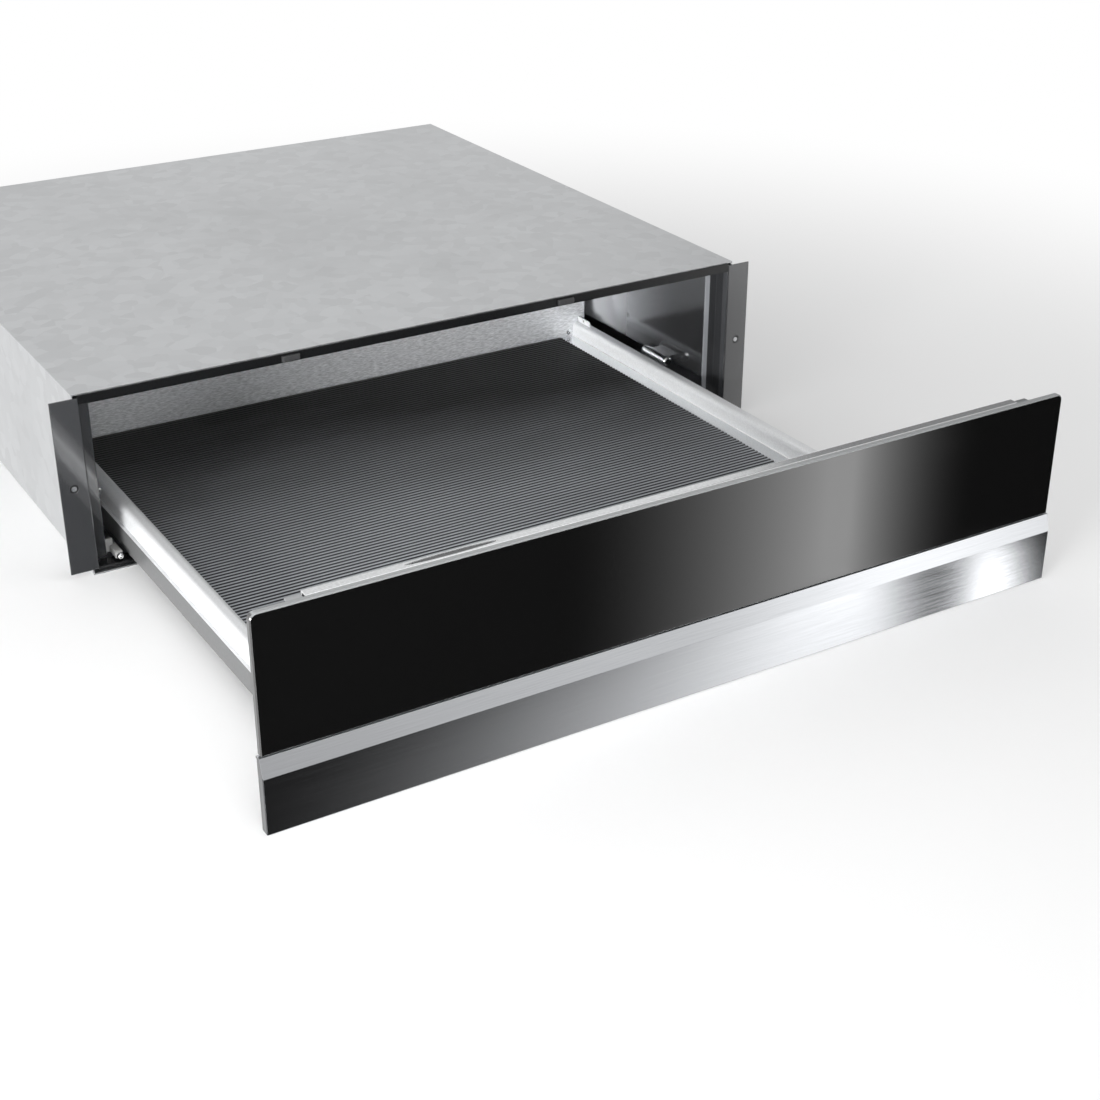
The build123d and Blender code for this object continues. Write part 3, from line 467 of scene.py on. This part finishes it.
def dark_enamel(name, colour, rough=0.05, ior=GLOSS_IOR, bare=None):
    """Dark gloss enamel over folded sheet, with a faint flow in the coat.

    Where bare is given, the right half's sheet is paler up to that distance from the middle.
    """
    material, tree, shader, place = surface(name)
    flow = noise(tree, place, 160.0, 2.0)
    edge = effect(tree, "edge_wear", {"Width": 0.0006})
    dust = effect(tree, "dust", {"Vector": place, "Scale": 60.0, "Amount": 0.10})["Mask"]
    body = tint(tree, dust, opaque(colour), opaque(colour, 2.0))
    wear_and_painted_shade = edged(tree, edge, 0.25, body, opaque(colour, 3.5))
    if bare is not None:
        across = axes(tree, place)[0]
        strip = maths(tree, "MULTIPLY", ramp(tree, across, bare + 0.0003, bare),
                      ramp(tree, across, 0.0, bare))
        wear_and_painted_shade = tint(tree, strip, wear_and_painted_shade, opaque(colour, 9.0))
    shine = maths(tree, "MULTIPLY_ADD", noise(tree, place, 12.0), 0.06, rough)
    fill(tree, shader, {"Base Color": wear_and_painted_shade, "Roughness": shine, "IOR": ior})
    raise_surface(tree, shader, flow, 1e-5, edge["Normal"])
    return material


def black_glass(name, colour):
    """Back-printed black glass with faint smears and pale ground edges, whose end faces are painted darker as
    painted shade.
    """
    material, tree, shader, place = surface(name)
    smear = noise(tree, stretched(tree, place, (6.0, 6.0, 14.0)), 1.0, 4.0, 0.6)
    ground = ramp(tree, maths(tree, "ABSOLUTE", axes(tree, facing(tree))[1]), 0.90, 0.60)
    # Painted shade: the ground end faces are painted near black, the other ground edges pale.
    pale = tint(tree, end_face(tree), (0.30, 0.31, 0.315, 1.0), (0.05, 0.05, 0.05, 1.0))
    polished = ramp(tree, smear, 0.45, 0.75, 0.02, 0.05)
    fill(tree, shader, {"Base Color": tint(tree, ground, opaque(colour), pale),
                        "Roughness": maths(tree, "MULTIPLY_ADD", ground, 0.30, polished),
                        "IOR": GLOSS_IOR})
    return material


def rubber(name, colour, rough, grain, dusty):
    """Matt rubber with a fine grain and a bloom of dust."""
    material, tree, shader, place = surface(name)
    fine = noise(tree, place, grain, 3.0, 0.6)
    dust = effect(tree, "dust", {"Vector": place, "Scale": 18.0, "Amount": dusty})["Mask"]
    body = tint(tree, ramp(tree, fine, 0.3, 0.7), opaque(colour, 0.85), opaque(colour, 1.15))
    fill(tree, shader, {"Base Color": tint(tree, dust, body, opaque(colour, 2.0)),
                        "Roughness": ramp(tree, fine, 0.2, 0.8, rough - 0.08, rough + 0.08)})
    raise_surface(tree, shader, fine, 3e-5)
    return material


def ribbed_rubber(name, colour, low, crest, rear, front, rough=0.36):
    """Mat rubber with painted light and shade: pale rib crests, as wear and painted highlight, near-black
    grooves as painted shade, and painted shade darkening it towards the rear and the right.
    """
    material, tree, shader, place = surface(name)
    fine = noise(tree, place, FINE_GRAIN, 3.0, 0.6)
    cloud = noise(tree, stretched(tree, place, (4.0, 16.0, 1.0)), 1.0, 4.0, 0.6)
    across, depth_in, height = axes(tree, place)
    # Painted highlight and shade on the ribs: the crests are painted pale and the grooves near black.
    wear_and_painted_shade = ramp(tree, height, low + 0.6 * (crest - low), crest - 0.05 * (crest - low))
    body = tint(tree, wear_and_painted_shade, opaque(colour, 0.08), opaque(colour, 9.8))
    # Painted shade: darker towards the rear and to the right, with a random cloud of darker tone on top.
    rear_right_shade = maths(tree, "ADD", ramp(tree, depth_in, front, rear, 0.0, 0.97),
                  ramp(tree, across, -0.10, 0.26, 0.0, 0.22))
    dark = maths(tree, "MULTIPLY_ADD", ramp(tree, cloud, 0.30, 0.75), 0.12, rear_right_shade, clamp=True)
    shaded_body = tint(tree, dark, body, opaque(colour, 0.10))
    flecked = tint(tree, ramp(tree, fine, 0.3, 0.7, 0.0, 0.15), shaded_body, opaque(colour, 0.5))
    fill(tree, shader, {"Base Color": flecked,
                        "Roughness": ramp(tree, fine, 0.2, 0.8, rough - 0.08, rough + 0.08)})
    raise_surface(tree, shader, fine, 3e-5)
    return material


def wall_silver(name, colour, ledge):
    """Silver wall coat with a fine sparkle, with painted shade darkening the skirt below the ledge."""
    material, tree, shader, place = surface(name)
    fine = noise(tree, place, FINE_GRAIN, 3.0, 0.7)
    edge = effect(tree, "edge_wear", {"Width": 0.0005})
    # Painted shade: the skirt below the ledge is painted dark.
    skirt_shade = ramp(tree, axes(tree, place)[2], ledge + 0.0002, ledge - 0.0006)
    body = tint(tree, ramp(tree, fine, 0.35, 0.65), opaque(colour, 0.94), opaque(colour, 1.05))
    dull = tint(tree, skirt_shade, body, opaque(colour, 0.19))
    wear_and_painted_shade = edged(tree, edge, 0.6, dull, opaque(colour, 1.25))
    fill(tree, shader, {"Base Color": wear_and_painted_shade, "Roughness": ramp(tree, fine, 0.3, 0.7, 0.43, 0.50),
                        "Metallic": 0.3})
    raise_surface(tree, shader, fine, 6e-6, edge["Normal"])
    return material


def bent_floor(name, colour, fold):
    """Smooth silver floor, folded up at fold from its middle, with a painted highlight: a pale matt line
    along the folds.
    """
    material, tree, shader, place = surface(name)
    fine = noise(tree, place, FINE_GRAIN, 3.0, 0.7)
    # Painted highlight: a pale, matt, non-metallic line along the folds.
    fold_highlight = ramp(tree, maths(tree, "ABSOLUTE", axes(tree, place)[0]), fold - 0.0016, fold - 0.0011)
    flat = tint(tree, fine, opaque(colour, 0.95), opaque(colour, 1.03))
    fill(tree, shader, {"Base Color": tint(tree, fold_highlight, flat, (0.98, 0.98, 0.98, 1.0)),
                        "Roughness": ramp(tree, fold_highlight, 0.0, 1.0, 0.16, 0.55),
                        "Metallic": ramp(tree, fold_highlight, 0.0, 1.0, 1.0, 0.0)})
    raise_surface(tree, shader, fine, 4e-6)
    return material


def moulded_plastic(name, colour, rough=0.42):
    """Moulded plastic with a fine spark texture."""
    material, tree, shader, place = surface(name)
    fine = noise(tree, place, 1400.0, 2.0)
    broad = noise(tree, place, 40.0, 2.0)
    body = tint(tree, ramp(tree, broad, 0.3, 0.7), opaque(colour, 0.94), opaque(colour, 1.03))
    fill(tree, shader, {"Base Color": body,
                        "Roughness": ramp(tree, fine, 0.2, 0.8, rough - 0.06, rough + 0.06)})
    raise_surface(tree, shader, fine, 1e-5)
    return material


def dress(material, *nodes):
    """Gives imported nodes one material."""
    for node in nodes:
        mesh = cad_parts[node].data
        mesh.materials.clear()
        mesh.materials.append(material)


def both(*bases):
    """Node names of left and right pieces."""
    return [f"{base}_{side}" for base in bases for side in SIDES]


# Screws

def screw_head(bm, settings, radius, height, domed):
    """The top of a cross-head screw along +Z, its rim at a height over its seat; returns the rim."""
    count = settings.segments
    bmesh.ops.create_grid(bm, x_segments=count, y_segments=count, size=1.0)
    arm_width, arm_reach, arm_taper = 1.05 / count, 0.56, 0.72
    cross = []
    for face in bm.faces:
        near, far = sorted(abs(part) for part in face.calc_center_median().xy)
        if near < arm_width and far < arm_reach:
            cross.append(face)
    rim = [edge for edge in bm.edges if edge.is_boundary]
    for vert in bm.verts:
        x, y = vert.co.x, vert.co.y
        vert.co.x = radius * x * math.sqrt(1.0 - y * y / 2.0)
        vert.co.y = radius * y * math.sqrt(1.0 - x * x / 2.0)
        share = (vert.co.x ** 2 + vert.co.y ** 2) / radius ** 2
        vert.co.z = height + (radius * settings.dome * (1.0 - share) if domed else 0.0)
    sunk = bmesh.ops.extrude_face_region(bm, geom=cross)["geom"]
    sunk_verts = [item for item in sunk if isinstance(item, bmesh.types.BMVert)]
    bmesh.ops.translate(bm, verts=sunk_verts, vec=(0.0, 0.0, -radius * settings.slot_depth))
    bmesh.ops.scale(bm, verts=sunk_verts, vec=(arm_taper, arm_taper, 1.0))
    return rim


def finish_screw(bm, rim, radius, shank, length, domed):
    """Takes the rim down to a flat or tapered seat, then along the shank to its blunt point."""
    seat_steps = ((0.0, radius), (0.0, shank)) if domed else ((shank - radius, shank),)
    point = (-length - shank * 0.6, shank * 0.5)
    for level, size in (*seat_steps, (-length, shank), point):
        grown = bmesh.ops.extrude_edge_only(bm, edges=rim)["geom"]
        verts = [item for item in grown if isinstance(item, bmesh.types.BMVert)]
        rim = [item for item in grown if isinstance(item, bmesh.types.BMEdge)
               and all(vert in verts for vert in item.verts)]
        for vert in verts:
            flat = math.hypot(vert.co.x, vert.co.y)
            vert.co.x *= size / flat
            vert.co.y *= size / flat
            vert.co.z = level
    bmesh.ops.contextual_create(bm, geom=rim)


def screw_piece(name, settings, places, length, domed):
    """One object of like screws, each at a place that turns +Z to its outward side."""
    if domed:
        radius, height, shank = settings.pan_radius, settings.pan_rim, settings.pan_shank
    else:
        radius, height, shank = settings.sunk_radius, 0.0, settings.sunk_shank
    bm = bmesh.new()
    for place in places:
        single = bmesh.new()
        rim = screw_head(single, settings, radius, height, domed)
        finish_screw(single, rim, radius, shank, length, domed)
        bmesh.ops.remove_doubles(single, verts=single.verts, dist=1e-6)
        bmesh.ops.recalc_face_normals(single, faces=single.faces)
        bmesh.ops.transform(single, matrix=place, verts=single.verts)
        mesh = bpy.data.meshes.new("one_screw")
        single.to_mesh(mesh)
        single.free()
        bm.from_mesh(mesh)
        bpy.data.meshes.remove(mesh)
    return finished(name, bm)


def finished(name, bm):
    """Writes a bmesh to a new object at the origin, smooth except at its sharp edges."""
    mesh = bpy.data.meshes.new(name)
    bm.to_mesh(mesh)
    bm.free()
    mesh.polygons.foreach_set("use_smooth", [True] * len(mesh.polygons))
    mesh.set_sharp_from_angle(angle=SHARP_ANGLE)
    piece = bpy.data.objects.new(name, mesh)
    bpy.context.scene.collection.objects.link(piece)
    return piece


def seat(x, y, z, outward, turn):
    """A matrix that puts +Z along outward at a point, turned about it."""
    aim = Vector(outward).to_track_quat("Z", "Y").to_matrix().to_4x4()
    return Matrix.Translation((x, y, z)) @ aim @ Matrix.Rotation(turn, 4, "Z")


def swap_screws(name, node, body, places, material, length, domed=True):
    """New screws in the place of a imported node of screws."""
    piece = screw_piece(name, bpy.context.scene.drawer_screws, places, length, domed)
    piece.data.materials.append(material)
    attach(piece, body)
    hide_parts(node)


# Operators

class DRAWER_OT_housing(bpy.types.Operator):
    """Finish the zinc-coated housing sheets and seat the rear sheet's screws"""
    bl_idname = "drawer.housing"
    bl_label = "Housing"

    def execute(self, context):
        colours, screws = context.scene.drawer_finishes, context.scene.drawer_screws
        sheet = zinc_sheet("zinc_coated_sheet", colours.zinc)
        dress(sheet, "housing_base", "housing_back", "top_cover", "rail_supports", *both("side_sheet"))
        low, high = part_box("case_screws")
        x, y = high.x - screws.pan_radius, high.y - screws.pan_rise
        heights = (low.z + screws.pan_radius, (low.z + high.z) / 2, high.z - screws.pan_radius)
        steel = satin_metal("screw_steel", colours.slide, 0.24, 500.0, 1e-5)
        places = [seat(sign * x, y, z, (0, 1, 0), turn=0.4 * sign + 9.0 * z)
                  for sign in SIGNS for z in heights]
        swap_screws("case_cross_screws", "case_screws", "housing", places, steel,
                    length=0.0056)
        dress(steel, "rail_screws")
        return {"FINISHED"}


class DRAWER_OT_opening(bpy.types.Operator):
    """Finish the flanges, liners, front rails and buffers, and seat the mounting screws"""
    bl_idname = "drawer.opening"
    bl_label = "Opening"

    def execute(self, context):
        colours, screws = context.scene.drawer_finishes, context.scene.drawer_screws
        bare_width = 0.004
        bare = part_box("front_flange_right")[0].x + bare_width
        dress(dark_enamel("dark_gloss_enamel", colours.enamel, bare=bare), *both("front_flange"))
        dress(dark_enamel("black_rail_enamel", [0.15 * part for part in colours.enamel], 0.12, 1.45),
              "top_front_rail", "bottom_front_rail")
        dress(polished_lining("polished_liner_steel", colours.liner), *both("liner"))
        dress(rubber("buffer_rubber", colours.soft_rubber, 0.5, 700.0, 0.2), "closing_buffers")
        low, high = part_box("mounting_screws")
        x, z = high.x - screws.sunk_radius, (low.z + high.z) / 2
        # The mounting screws carry painted shade round their middles.
        steel = ringed_metal("mounting_screw_steel", colours.slide, 0.25, x, z, 0.60 * screws.sunk_radius)
        places = [seat(sign * x, low.y, z, (0, -1, 0), turn=0.5 * sign) for sign in SIGNS]
        swap_screws("mounting_cross_screws", "mounting_screws", "housing", places, steel,
                    length=0.0145, domed=False)
        return {"FINISHED"}


class DRAWER_OT_guides(bpy.types.Operator):
    """Finish the locating brackets, studs and guide barrels"""
    bl_idname = "drawer.guides"
    bl_label = "Guides"

    def execute(self, context):
        colours = context.scene.drawer_finishes
        dress(moulded_plastic("pale_moulded_plastic", colours.plastic), *both("locating_bracket"))
        bright = satin_metal("bright_nickel", colours.bright, 0.12, 300.0, 4e-6)
        dress(bright, "ball_studs", *both("guide_barrel", "outer_balls", "inner_balls"))
        return {"FINISHED"}


class DRAWER_OT_slides(bpy.types.Operator):
    """Finish the ball slides, their cages, screws and stops"""
    bl_idname = "drawer.slides"
    bl_label = "Slides"

    def execute(self, context):
        colours = context.scene.drawer_finishes
        steel = brushed_metal("slide_steel", colours.slide, 0.30, (60.0, 4.0, 60.0), 12.0, 1e-5,
                              0.08, 0.05)
        dress(steel, "drawer_rail_screws", *both("cabinet_rail", "middle_rail", "drawer_rail"))
        dress(satin_metal("cage_steel", colours.bright, 0.28, 400.0, 1e-5),
              *both("outer_cage", "inner_cage"))
        dress(rubber("stop_rubber", colours.soft_rubber, 0.55, 700.0, 0.3), "rail_stops")
        return {"FINISHED"}


class DRAWER_OT_ejector(bpy.types.Operator):
    """Finish the push-to-open ejector and its striker"""
    bl_idname = "drawer.ejector"
    bl_label = "Ejector"

    def execute(self, context):
        colours = context.scene.drawer_finishes
        dress(moulded_plastic("ejector_plastic", (0.09, 0.09, 0.095)), "ejector_body", "ejector_plunger")
        dress(rubber("ejector_pad_rubber", colours.soft_rubber, 0.5, 700.0, 0.2), "ejector_tip")
        dress(brushed_metal("spring_steel", colours.slide, 0.22, (40.0, 40.0, 40.0), 9.0, 1e-5,
                            0.06, 0.05), "ejector_spring")
        dress(satin_metal("striker_steel", colours.slide, 0.30, 400.0, 2e-5), "ejector_striker")
        return {"FINISHED"}


class DRAWER_OT_front(bpy.types.Operator):
    """Finish the glass, the brushed strip and the tape between them"""
    bl_idname = "drawer.front"
    bl_label = "Front panel"

    def execute(self, context):
        colours = context.scene.drawer_finishes
        dress(black_glass("black_glass", colours.glass), "front_glass")
        # The strip's end faces get painted shade.
        dress(brushed_metal("brushed_front_steel", colours.front_steel, 0.08, (3.0, 300.0, 300.0), 9.0,
                            1.2e-6, 0.05, 0.015, wear=0.0003, along=0.9, side_shade=0.25), "front_plate")
        dress(rubber("bonding_tape", colours.tape, 0.7, 500.0, 0.1), "glass_tape")
        return {"FINISHED"}


class DRAWER_OT_carrier(bpy.types.Operator):
    """Finish the inner front profile, its clips and corner brackets"""
    bl_idname = "drawer.carrier"
    bl_label = "Inner front"

    def execute(self, context):
        colours = context.scene.drawer_finishes
        low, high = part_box("front_carrier")
        # Painted shade where the inner front's dent lies.
        dent_shade = ((colours.dent_middle, (low.y + high.y) / 2, high.z),
                (2.0 / colours.dent_length, 2.0 / colours.dent_width, 0.0))
        dress(satin_metal("inner_front_silver", colours.silver, 0.16, 600.0, 4e-6, dent_shade=dent_shade),
              "front_carrier")
        bracket = satin_metal("bracket_steel", colours.slide, 0.30, 400.0, 2e-5)
        dress(bracket, "panel_clips", "front_screws", *both("corner_bracket"))
        return {"FINISHED"}


class DRAWER_OT_tray(bpy.types.Operator):
    """Finish the tray's floor, walls and back, and seat the back wall's screws"""
    bl_idname = "drawer.tray"
    bl_label = "Tray"

    def execute(self, context):
        colours, screws = context.scene.drawer_finishes, context.scene.drawer_screws
        dress(wall_silver("wall_silver", colours.silver, colours.ledge), *both("side_profile"))
        dress(bent_floor("floor_silver", colours.silver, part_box("tray_floor")[1].x), "tray_floor")
        dress(brushed_metal("brushed_back_steel", colours.back_steel, 0.42, (70.0, 70.0, 560.0), 3.0,
                            2e-5, 0.28, 0.06, metallic=0.5), "drawer_back")
        low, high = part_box("back_screws")
        x, y, z = high.x - screws.pan_radius, low.y + screws.pan_rise, (low.z + high.z) / 2
        steel = satin_metal("back_screw_steel", colours.bright, 0.18, 500.0, 1e-5)
        places = [seat(sign * x, y, z, (0, -1, 0), turn=0.6 * sign) for sign in SIGNS]
        swap_screws("back_cross_screws", "back_screws", "drawer", places, steel,
                    length=0.0045)
        return {"FINISHED"}


class DRAWER_OT_mat(bpy.types.Operator):
    """Finish the ribbed rubber mat"""
    bl_idname = "drawer.mat"
    bl_label = "Ribbed mat"

    def execute(self, context):
        colours = context.scene.drawer_finishes
        # Painted shade: the mat darkens over this depth towards its rear.
        shade_depth = 0.35
        low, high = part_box("ribbed_mat")
        dress(ribbed_rubber("mat_rubber", colours.rubber, (low.z + high.z) / 2, high.z,
                            high.y, high.y - shade_depth), "ribbed_mat")
        return {"FINISHED"}


class DRAWER_OT_studio(bpy.types.Operator):
    """Set the floor, the room light, the lamps and the camera"""
    bl_idname = "drawer.studio"
    bl_label = "Studio"

    def execute(self, context):
        studio = context.scene.drawer_studio
        lay_floor(studio)
        light_room(context.scene, studio)
        hang_lamp("key_lamp", (0.10, -0.55, 2.1), (0.0, -0.05, 0.05), (2.2, 1.6), studio.key_power)
        hang_lamp("side_lamp", (-2.1, -0.9, 1.3), (0.0, -0.1, 0.05), (1.4, 1.4), studio.side_power)
        hang_lamp("front_lamp", (-0.5, -1.6, 0.32), (-0.16, 0.1, 0.08), (1.0, 0.30), studio.front_power,
                  spread=60.0)
        hang_lamp("low_lamp", (-2.2, -1.3, 0.32), (0.1, 0.1, 0.08), (0.9, 0.30), studio.low_power,
                  spread=60.0)
        stand_camera(context.scene, context.scene.drawer_camera)
        context.scene.view_settings.view_transform = "Standard"
        return {"FINISHED"}


# Studio

FLOOR_GAP = 0.0002

# Degrees to either side of straight in front. A rise or a fall is where a strip starts, where it is full and,
# if it isn't straight or soft, the power that bends it. The bevel's rise ends with its two levels. A hill, a
# dip and a glint are a middle and half a width.
GLASS_RISE, GLASS_FALL = (31.5, 40.8, 2.2), (45.8, 41.6, 2.6)
STEEL_RISE, STEEL_FALL = (18.0, 40.0, 2.4), (48.4, 46.9)
STEEL_DIP, STEEL_GLINT = (44.8, 2.1), (46.6, 1.2)
BEVEL_HILL, BEVEL_RISE = (38.4, 8.0), (14.0, 34.0, 0.72, 1.10)
DIP_LEVEL, GLINT_LEVEL, BEVEL_LEVEL = -0.97, 1.3, 0.95
CARD_END = (56.0, 64.0)
SIDE_END = (141.0, 141.8)

# Heights, as the sine of the angle over the horizon. The parting lies between what the steel and the glass
# mirror, and climbs with the degrees to the side.
PARTING = {"From Min": 30.0, "From Max": 47.5, "To Min": -0.5235, "To Max": -0.4345}
PARTING_BLUR = 0.003
CARD_TOP = (-0.34, -0.28)
HORIZON = (0.03, 0.12)
OVERHEAD = (0.60, 0.75)


def lay_floor(studio):
    """A wide pale floor just under the housing, which fades to plain white away from it."""
    bm = bmesh.new()
    bmesh.ops.create_grid(bm, x_segments=1, y_segments=1, size=studio.floor_reach)
    bmesh.ops.translate(bm, verts=bm.verts, vec=(0.0, 0.0, CAD_BOX[0][2] - FLOOR_GAP))
    floor = finished("studio_floor", bm)
    material, tree, shader, place = surface("pale_floor")
    pale = tint(tree, noise(tree, place, 1.5, 2.0), opaque(studio.floor_colour, 0.995),
                opaque(studio.floor_colour, 1.005))
    fill(tree, shader, {"Base Color": pale, "Roughness": 0.9, "Specular IOR Level": 0.0})
    reach = add(tree, "ShaderNodeVectorMath", {0: place}, operation="LENGTH").outputs["Value"]
    far = ramp(tree, reach, 0.35 * studio.floor_fade, studio.floor_fade)
    seen = tree.nodes.new("ShaderNodeLightPath").outputs["Is Camera Ray"]
    white = add(tree, "ShaderNodeEmission", {"Strength": 1.0})
    blend = add(tree, "ShaderNodeMixShader", {0: maths(tree, "MULTIPLY", far, seen),
                                              1: shader.outputs[0], 2: white.outputs[0]})
    tree.links.new(blend.outputs[0], tree.nodes["Material Output"].inputs["Surface"])
    floor.data.materials.append(material)
    floor.visible_glossy = False


def power_ramp(tree, value, low, high, power):
    """A straight ramp from 0 to 1, bent by a power."""
    return maths(tree, "POWER", ramp(tree, value, low, high, shape="LINEAR"), power)


def hill(tree, value, middle, half):
    """A soft hill from 0 to 1 and back round a middle value."""
    off = maths(tree, "ABSOLUTE", maths(tree, "SUBTRACT", value, middle))
    return ramp(tree, off, half, 0.0)


def light_room(scene, studio):
    """Even light from above and behind, and what the front mirrors.

    In front lies a dark card with two soft strips, the lower one for the steel and the upper one for the
    glass, and a pale edge above them for the bevel. Beside the card the ground is white.
    """
    world = bpy.data.worlds.new("studio_room")
    scene.world = world
    world.use_nodes = True
    tree = world.node_tree
    tree.nodes.clear()
    x, y, height = axes(tree, tree.nodes.new("ShaderNodeTexCoord").outputs["Generated"])
    radians = maths(tree, "ARCTAN2", maths(tree, "ABSOLUTE", x), maths(tree, "MULTIPLY", y, -1.0))
    turn = maths(tree, "MULTIPLY", radians, math.degrees(1.0))

    glass_strip = maths(tree, "MULTIPLY", power_ramp(tree, turn, *GLASS_RISE),
                        power_ramp(tree, turn, *GLASS_FALL))
    glass_part = maths(tree, "MULTIPLY_ADD", glass_strip, studio.glass_strip_level, studio.card_level)
    steel_strip = maths(tree, "MULTIPLY", power_ramp(tree, turn, *STEEL_RISE), ramp(tree, turn, *STEEL_FALL))
    dip = maths(tree, "MULTIPLY_ADD", hill(tree, turn, *STEEL_DIP), DIP_LEVEL, 1.0)
    steel_strip = maths(tree, "MULTIPLY_ADD", hill(tree, turn, *STEEL_GLINT), GLINT_LEVEL,
                        maths(tree, "MULTIPLY", steel_strip, dip))
    steel_part = maths(tree, "MULTIPLY_ADD", steel_strip, studio.steel_strip_level, studio.card_level)
    bevel_part = maths(tree, "MULTIPLY_ADD", hill(tree, turn, *BEVEL_HILL), BEVEL_LEVEL,
                       ramp(tree, turn, *BEVEL_RISE))

    parting = add(tree, "ShaderNodeMapRange", {"Value": turn, **PARTING}, clamp=False).outputs[0]
    above = ramp(tree, maths(tree, "SUBTRACT", height, parting), -PARTING_BLUR, PARTING_BLUR)
    card = mixed(tree, above, steel_part, glass_part)
    front = mixed(tree, ramp(tree, height, *CARD_TOP), card, bevel_part)
    ground = mixed(tree, ramp(tree, turn, *CARD_END), front, studio.white_level)

    path = tree.nodes.new("ShaderNodeLightPath").outputs
    behind = mixed(tree, ramp(tree, turn, *SIDE_END), studio.side_level, 1.0)
    mirrored_sky = mixed(tree, ramp(tree, height, *OVERHEAD), behind, 1.0)
    sky = mixed(tree, path["Is Glossy Ray"], studio.sky_level, mirrored_sky)
    seen = maths(tree, "MAXIMUM", path["Is Camera Ray"], path["Is Transmission Ray"])
    room = mixed(tree, ramp(tree, height, *HORIZON), ground, sky)
    level = mixed(tree, seen, maths(tree, "MULTIPLY", room, studio.room_level), 1.0)
    light = add(tree, "ShaderNodeBackground", {"Color": (1.0, 1.0, 1.0, 1.0), "Strength": level})
    out = tree.nodes.new("ShaderNodeOutputWorld")
    tree.links.new(light.outputs[0], out.inputs[0])


def hang_lamp(name, place, aim, size, power, spread=180.0):
    """A rectangular soft lamp that looks at a point, its light spread over an angle in degrees."""
    lamp = bpy.data.lights.new(name, "AREA")
    lamp.shape = "RECTANGLE"
    lamp.size, lamp.size_y = size
    lamp.energy = power
    lamp.spread = math.radians(spread)
    holder = bpy.data.objects.new(name, lamp)
    look = (Vector(aim) - Vector(place)).to_track_quat("-Z", "Y")
    holder.matrix_world = Matrix.Translation(place) @ look.to_matrix().to_4x4()
    bpy.context.scene.collection.objects.link(holder)


def stand_camera(scene, settings):
    """The camera at the photograph's viewing angle."""
    camera = bpy.data.cameras.new("camera")
    camera.sensor_width = 36.0
    camera.lens = settings.lens
    camera.clip_start = 0.01
    holder = bpy.data.objects.new("camera", camera)
    holder.location = settings.place
    holder.rotation_euler = (math.pi / 2 - settings.dip, 0.0, -settings.turn)
    scene.collection.objects.link(holder)
    scene.camera = holder


# Panel and registration

PIECES = (DRAWER_OT_housing, DRAWER_OT_opening, DRAWER_OT_guides, DRAWER_OT_slides, DRAWER_OT_ejector,
          DRAWER_OT_front, DRAWER_OT_carrier, DRAWER_OT_tray, DRAWER_OT_mat, DRAWER_OT_studio)
SETTINGS = {"drawer_camera": CameraSettings, "drawer_studio": StudioSettings,
            "drawer_finishes": FinishSettings, "drawer_screws": ScrewSettings}


class DRAWER_PT_looks(bpy.types.Panel):
    """Lists the drawer's settings and operators"""
    bl_idname = "DRAWER_PT_looks"
    bl_label = "Built-in drawer"
    bl_space_type = "VIEW_3D"
    bl_region_type = "UI"
    bl_category = "Drawer"

    def draw(self, context):
        for operator in PIECES:
            self.layout.operator(operator.bl_idname)
        for name, group in SETTINGS.items():
            box = self.layout.box()
            for prop in group.__annotations__:
                box.prop(getattr(context.scene, name), prop)


def register():
    for group in SETTINGS.values():
        bpy.utils.register_class(group)
    for operator in PIECES:
        bpy.utils.register_class(operator)
    bpy.utils.register_class(DRAWER_PT_looks)
    for name, group in SETTINGS.items():
        setattr(bpy.types.Scene, name, PointerProperty(type=group))


def unregister():
    for name in SETTINGS:
        delattr(bpy.types.Scene, name)
    bpy.utils.unregister_class(DRAWER_PT_looks)
    for operator in reversed(PIECES):
        bpy.utils.unregister_class(operator)
    for group in reversed(list(SETTINGS.values())):
        bpy.utils.unregister_class(group)


def main():
    register()
    for operator in PIECES:
        family, name = operator.bl_idname.split(".")
        getattr(getattr(bpy.ops, family), name)()


if __name__ == "__main__":
    main()
